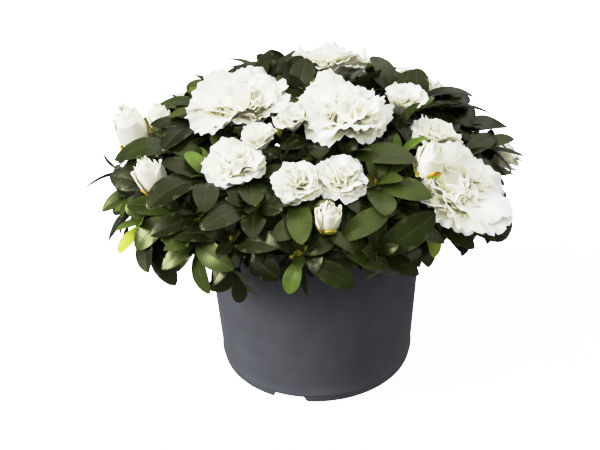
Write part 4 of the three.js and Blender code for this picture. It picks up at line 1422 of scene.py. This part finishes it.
def make_flowers():
    """The flowers of each tier, those of the front half and of the back half apart, and all the buds."""
    materials = flower_materials()
    buds = Heap()
    for tier in TIERS:
        for side in ("front", "back"):
            heap = Heap()
            masses = [m for m in MASSES if m.tier == tier and m.blooms]
            masses = [m for m in masses if (abs(m.azimuth) < 90) == (side == "front")]
            for mass in masses:
                draw = seeded(mass.seed + FLOWER_SEED)
                for bloom in mass.blooms:
                    if bloom.form == "bud":
                        bud(buds, bloom, draw)
                    else:
                        flower(heap, bloom, draw)
            if masses:
                name = f"flowers_{tier}_{side}"
                nodes = [f"foliage_{mass.name}" for mass in masses]
                piece(name, heap.mesh(name, SHARP["flowers"]), materials, nodes)
    add_young_buds(buds)
    piece("buds", buds.mesh("buds", SHARP["flowers"]), materials, nodes_of(*TIERS))


# Stage, lights and camera

CAMERA_PLACE = (-8.2, -476.4, 352.7)
CAMERA_DOWN = math.radians(29.2)
CAMERA_ROLL = math.radians(1.93)
CAMERA_LENS = 55.56
CAMERA_SIGHT = (0.01, 200)

# Far, soft lights: their azimuth, height over the ground and spread in degrees, strength and colour.
# Azimuths are from 0 at the front to 90 at the right.
LAMPS = {
    "key": (-76, 32, 30, 5.8, (1.0, 0.995, 0.98)),
    "soft": (12, 66, 90, 2.6, (1.0, 1.0, 1.0)),
    "back": (150, 55, 60, 1.1, (1.0, 1.0, 1.0)),
}
SKY_STRENGTH = 0.25
STAGE_REACH = 60

# How bright the picture shows each strength of light: as it is while dim, a little more in the middle,
# and ever less so when bright, so that petals in full light keep their shading
BRIGHTEST = 4
ALL_COLOURS = 3
TONES = ((0.1, 0.1), (0.25, 0.27), (0.45, 0.56), (0.8, 0.76), (1.3, 0.87), (2.0, 0.945), (2.8, 0.98))


def make_camera():
    right = Vector((1, 0, 0))
    up = Vector((0, math.sin(CAMERA_DOWN), math.cos(CAMERA_DOWN)))
    back = Vector((0, -math.cos(CAMERA_DOWN), math.sin(CAMERA_DOWN)))
    x = right * math.cos(CAMERA_ROLL) - up * math.sin(CAMERA_ROLL)
    y = right * math.sin(CAMERA_ROLL) + up * math.cos(CAMERA_ROLL)
    data = bpy.data.cameras.new("camera")
    data.lens = CAMERA_LENS
    data.clip_start, data.clip_end = CAMERA_SIGHT
    camera = add_object("camera", data)
    place = Vector(CAMERA_PLACE) * MM
    rows = [(x[i], y[i], back[i], place[i]) for i in range(3)]
    camera.matrix_world = Matrix([*rows, (0, 0, 0, 1)])
    bpy.context.scene.camera = camera


def make_lamp(name, azimuth, height, spread, strength, colour):
    data = bpy.data.lights.new(name, "SUN")
    data.angle = math.radians(spread)
    data.energy = strength
    data.color = colour
    a, h = math.radians(azimuth), math.radians(height)
    towards = Vector((math.cos(h) * math.sin(a), -math.cos(h) * math.cos(a), math.sin(h)))
    made = add_object(name, data)
    made.rotation_mode = "QUATERNION"
    made.rotation_quaternion = towards.to_track_quat("Z", "Y")


def make_floor():
    """A pale floor that the camera sees and the plant doesn't, so that it throws no light on the pot."""
    mesh = bpy.data.meshes.new("floor")
    far = STAGE_REACH
    mesh.from_pydata([(-far, -far, 0), (far, -far, 0), (far, far, 0), (-far, far, 0)], [], [(0, 1, 2, 3)])
    mesh.materials.append(floor_material())
    floor = add_object("floor", mesh)
    floor.visible_diffuse = False
    floor.visible_glossy = False


def make_light():
    world = bpy.data.worlds.new("world")
    world.use_nodes = True
    sky = world.node_tree.nodes["Background"]
    sky.inputs["Color"].default_value = (1, 1, 1, 1)
    sky.inputs["Strength"].default_value = SKY_STRENGTH
    bpy.context.scene.world = world
    for name, settings in LAMPS.items():
        make_lamp(name, *settings)


def set_tones():
    settings = bpy.context.scene.view_settings
    settings.view_transform = "Standard"
    settings.look = "None"
    settings.use_curve_mapping = True
    tones = settings.curve_mapping
    tones.white_level = (BRIGHTEST, BRIGHTEST, BRIGHTEST)
    for light, shown in TONES:
        tones.curves[ALL_COLOURS].points.new(light / BRIGHTEST, shown)
    tones.update()


make_camera()
make_floor()
make_light()
set_tones()
grow_crown()
make_pot()
make_peat()
make_wood()
for mass in MASSES:
    plan_shoots(mass)
plan_placed()
make_twigs()
make_leaves()
make_flowers()
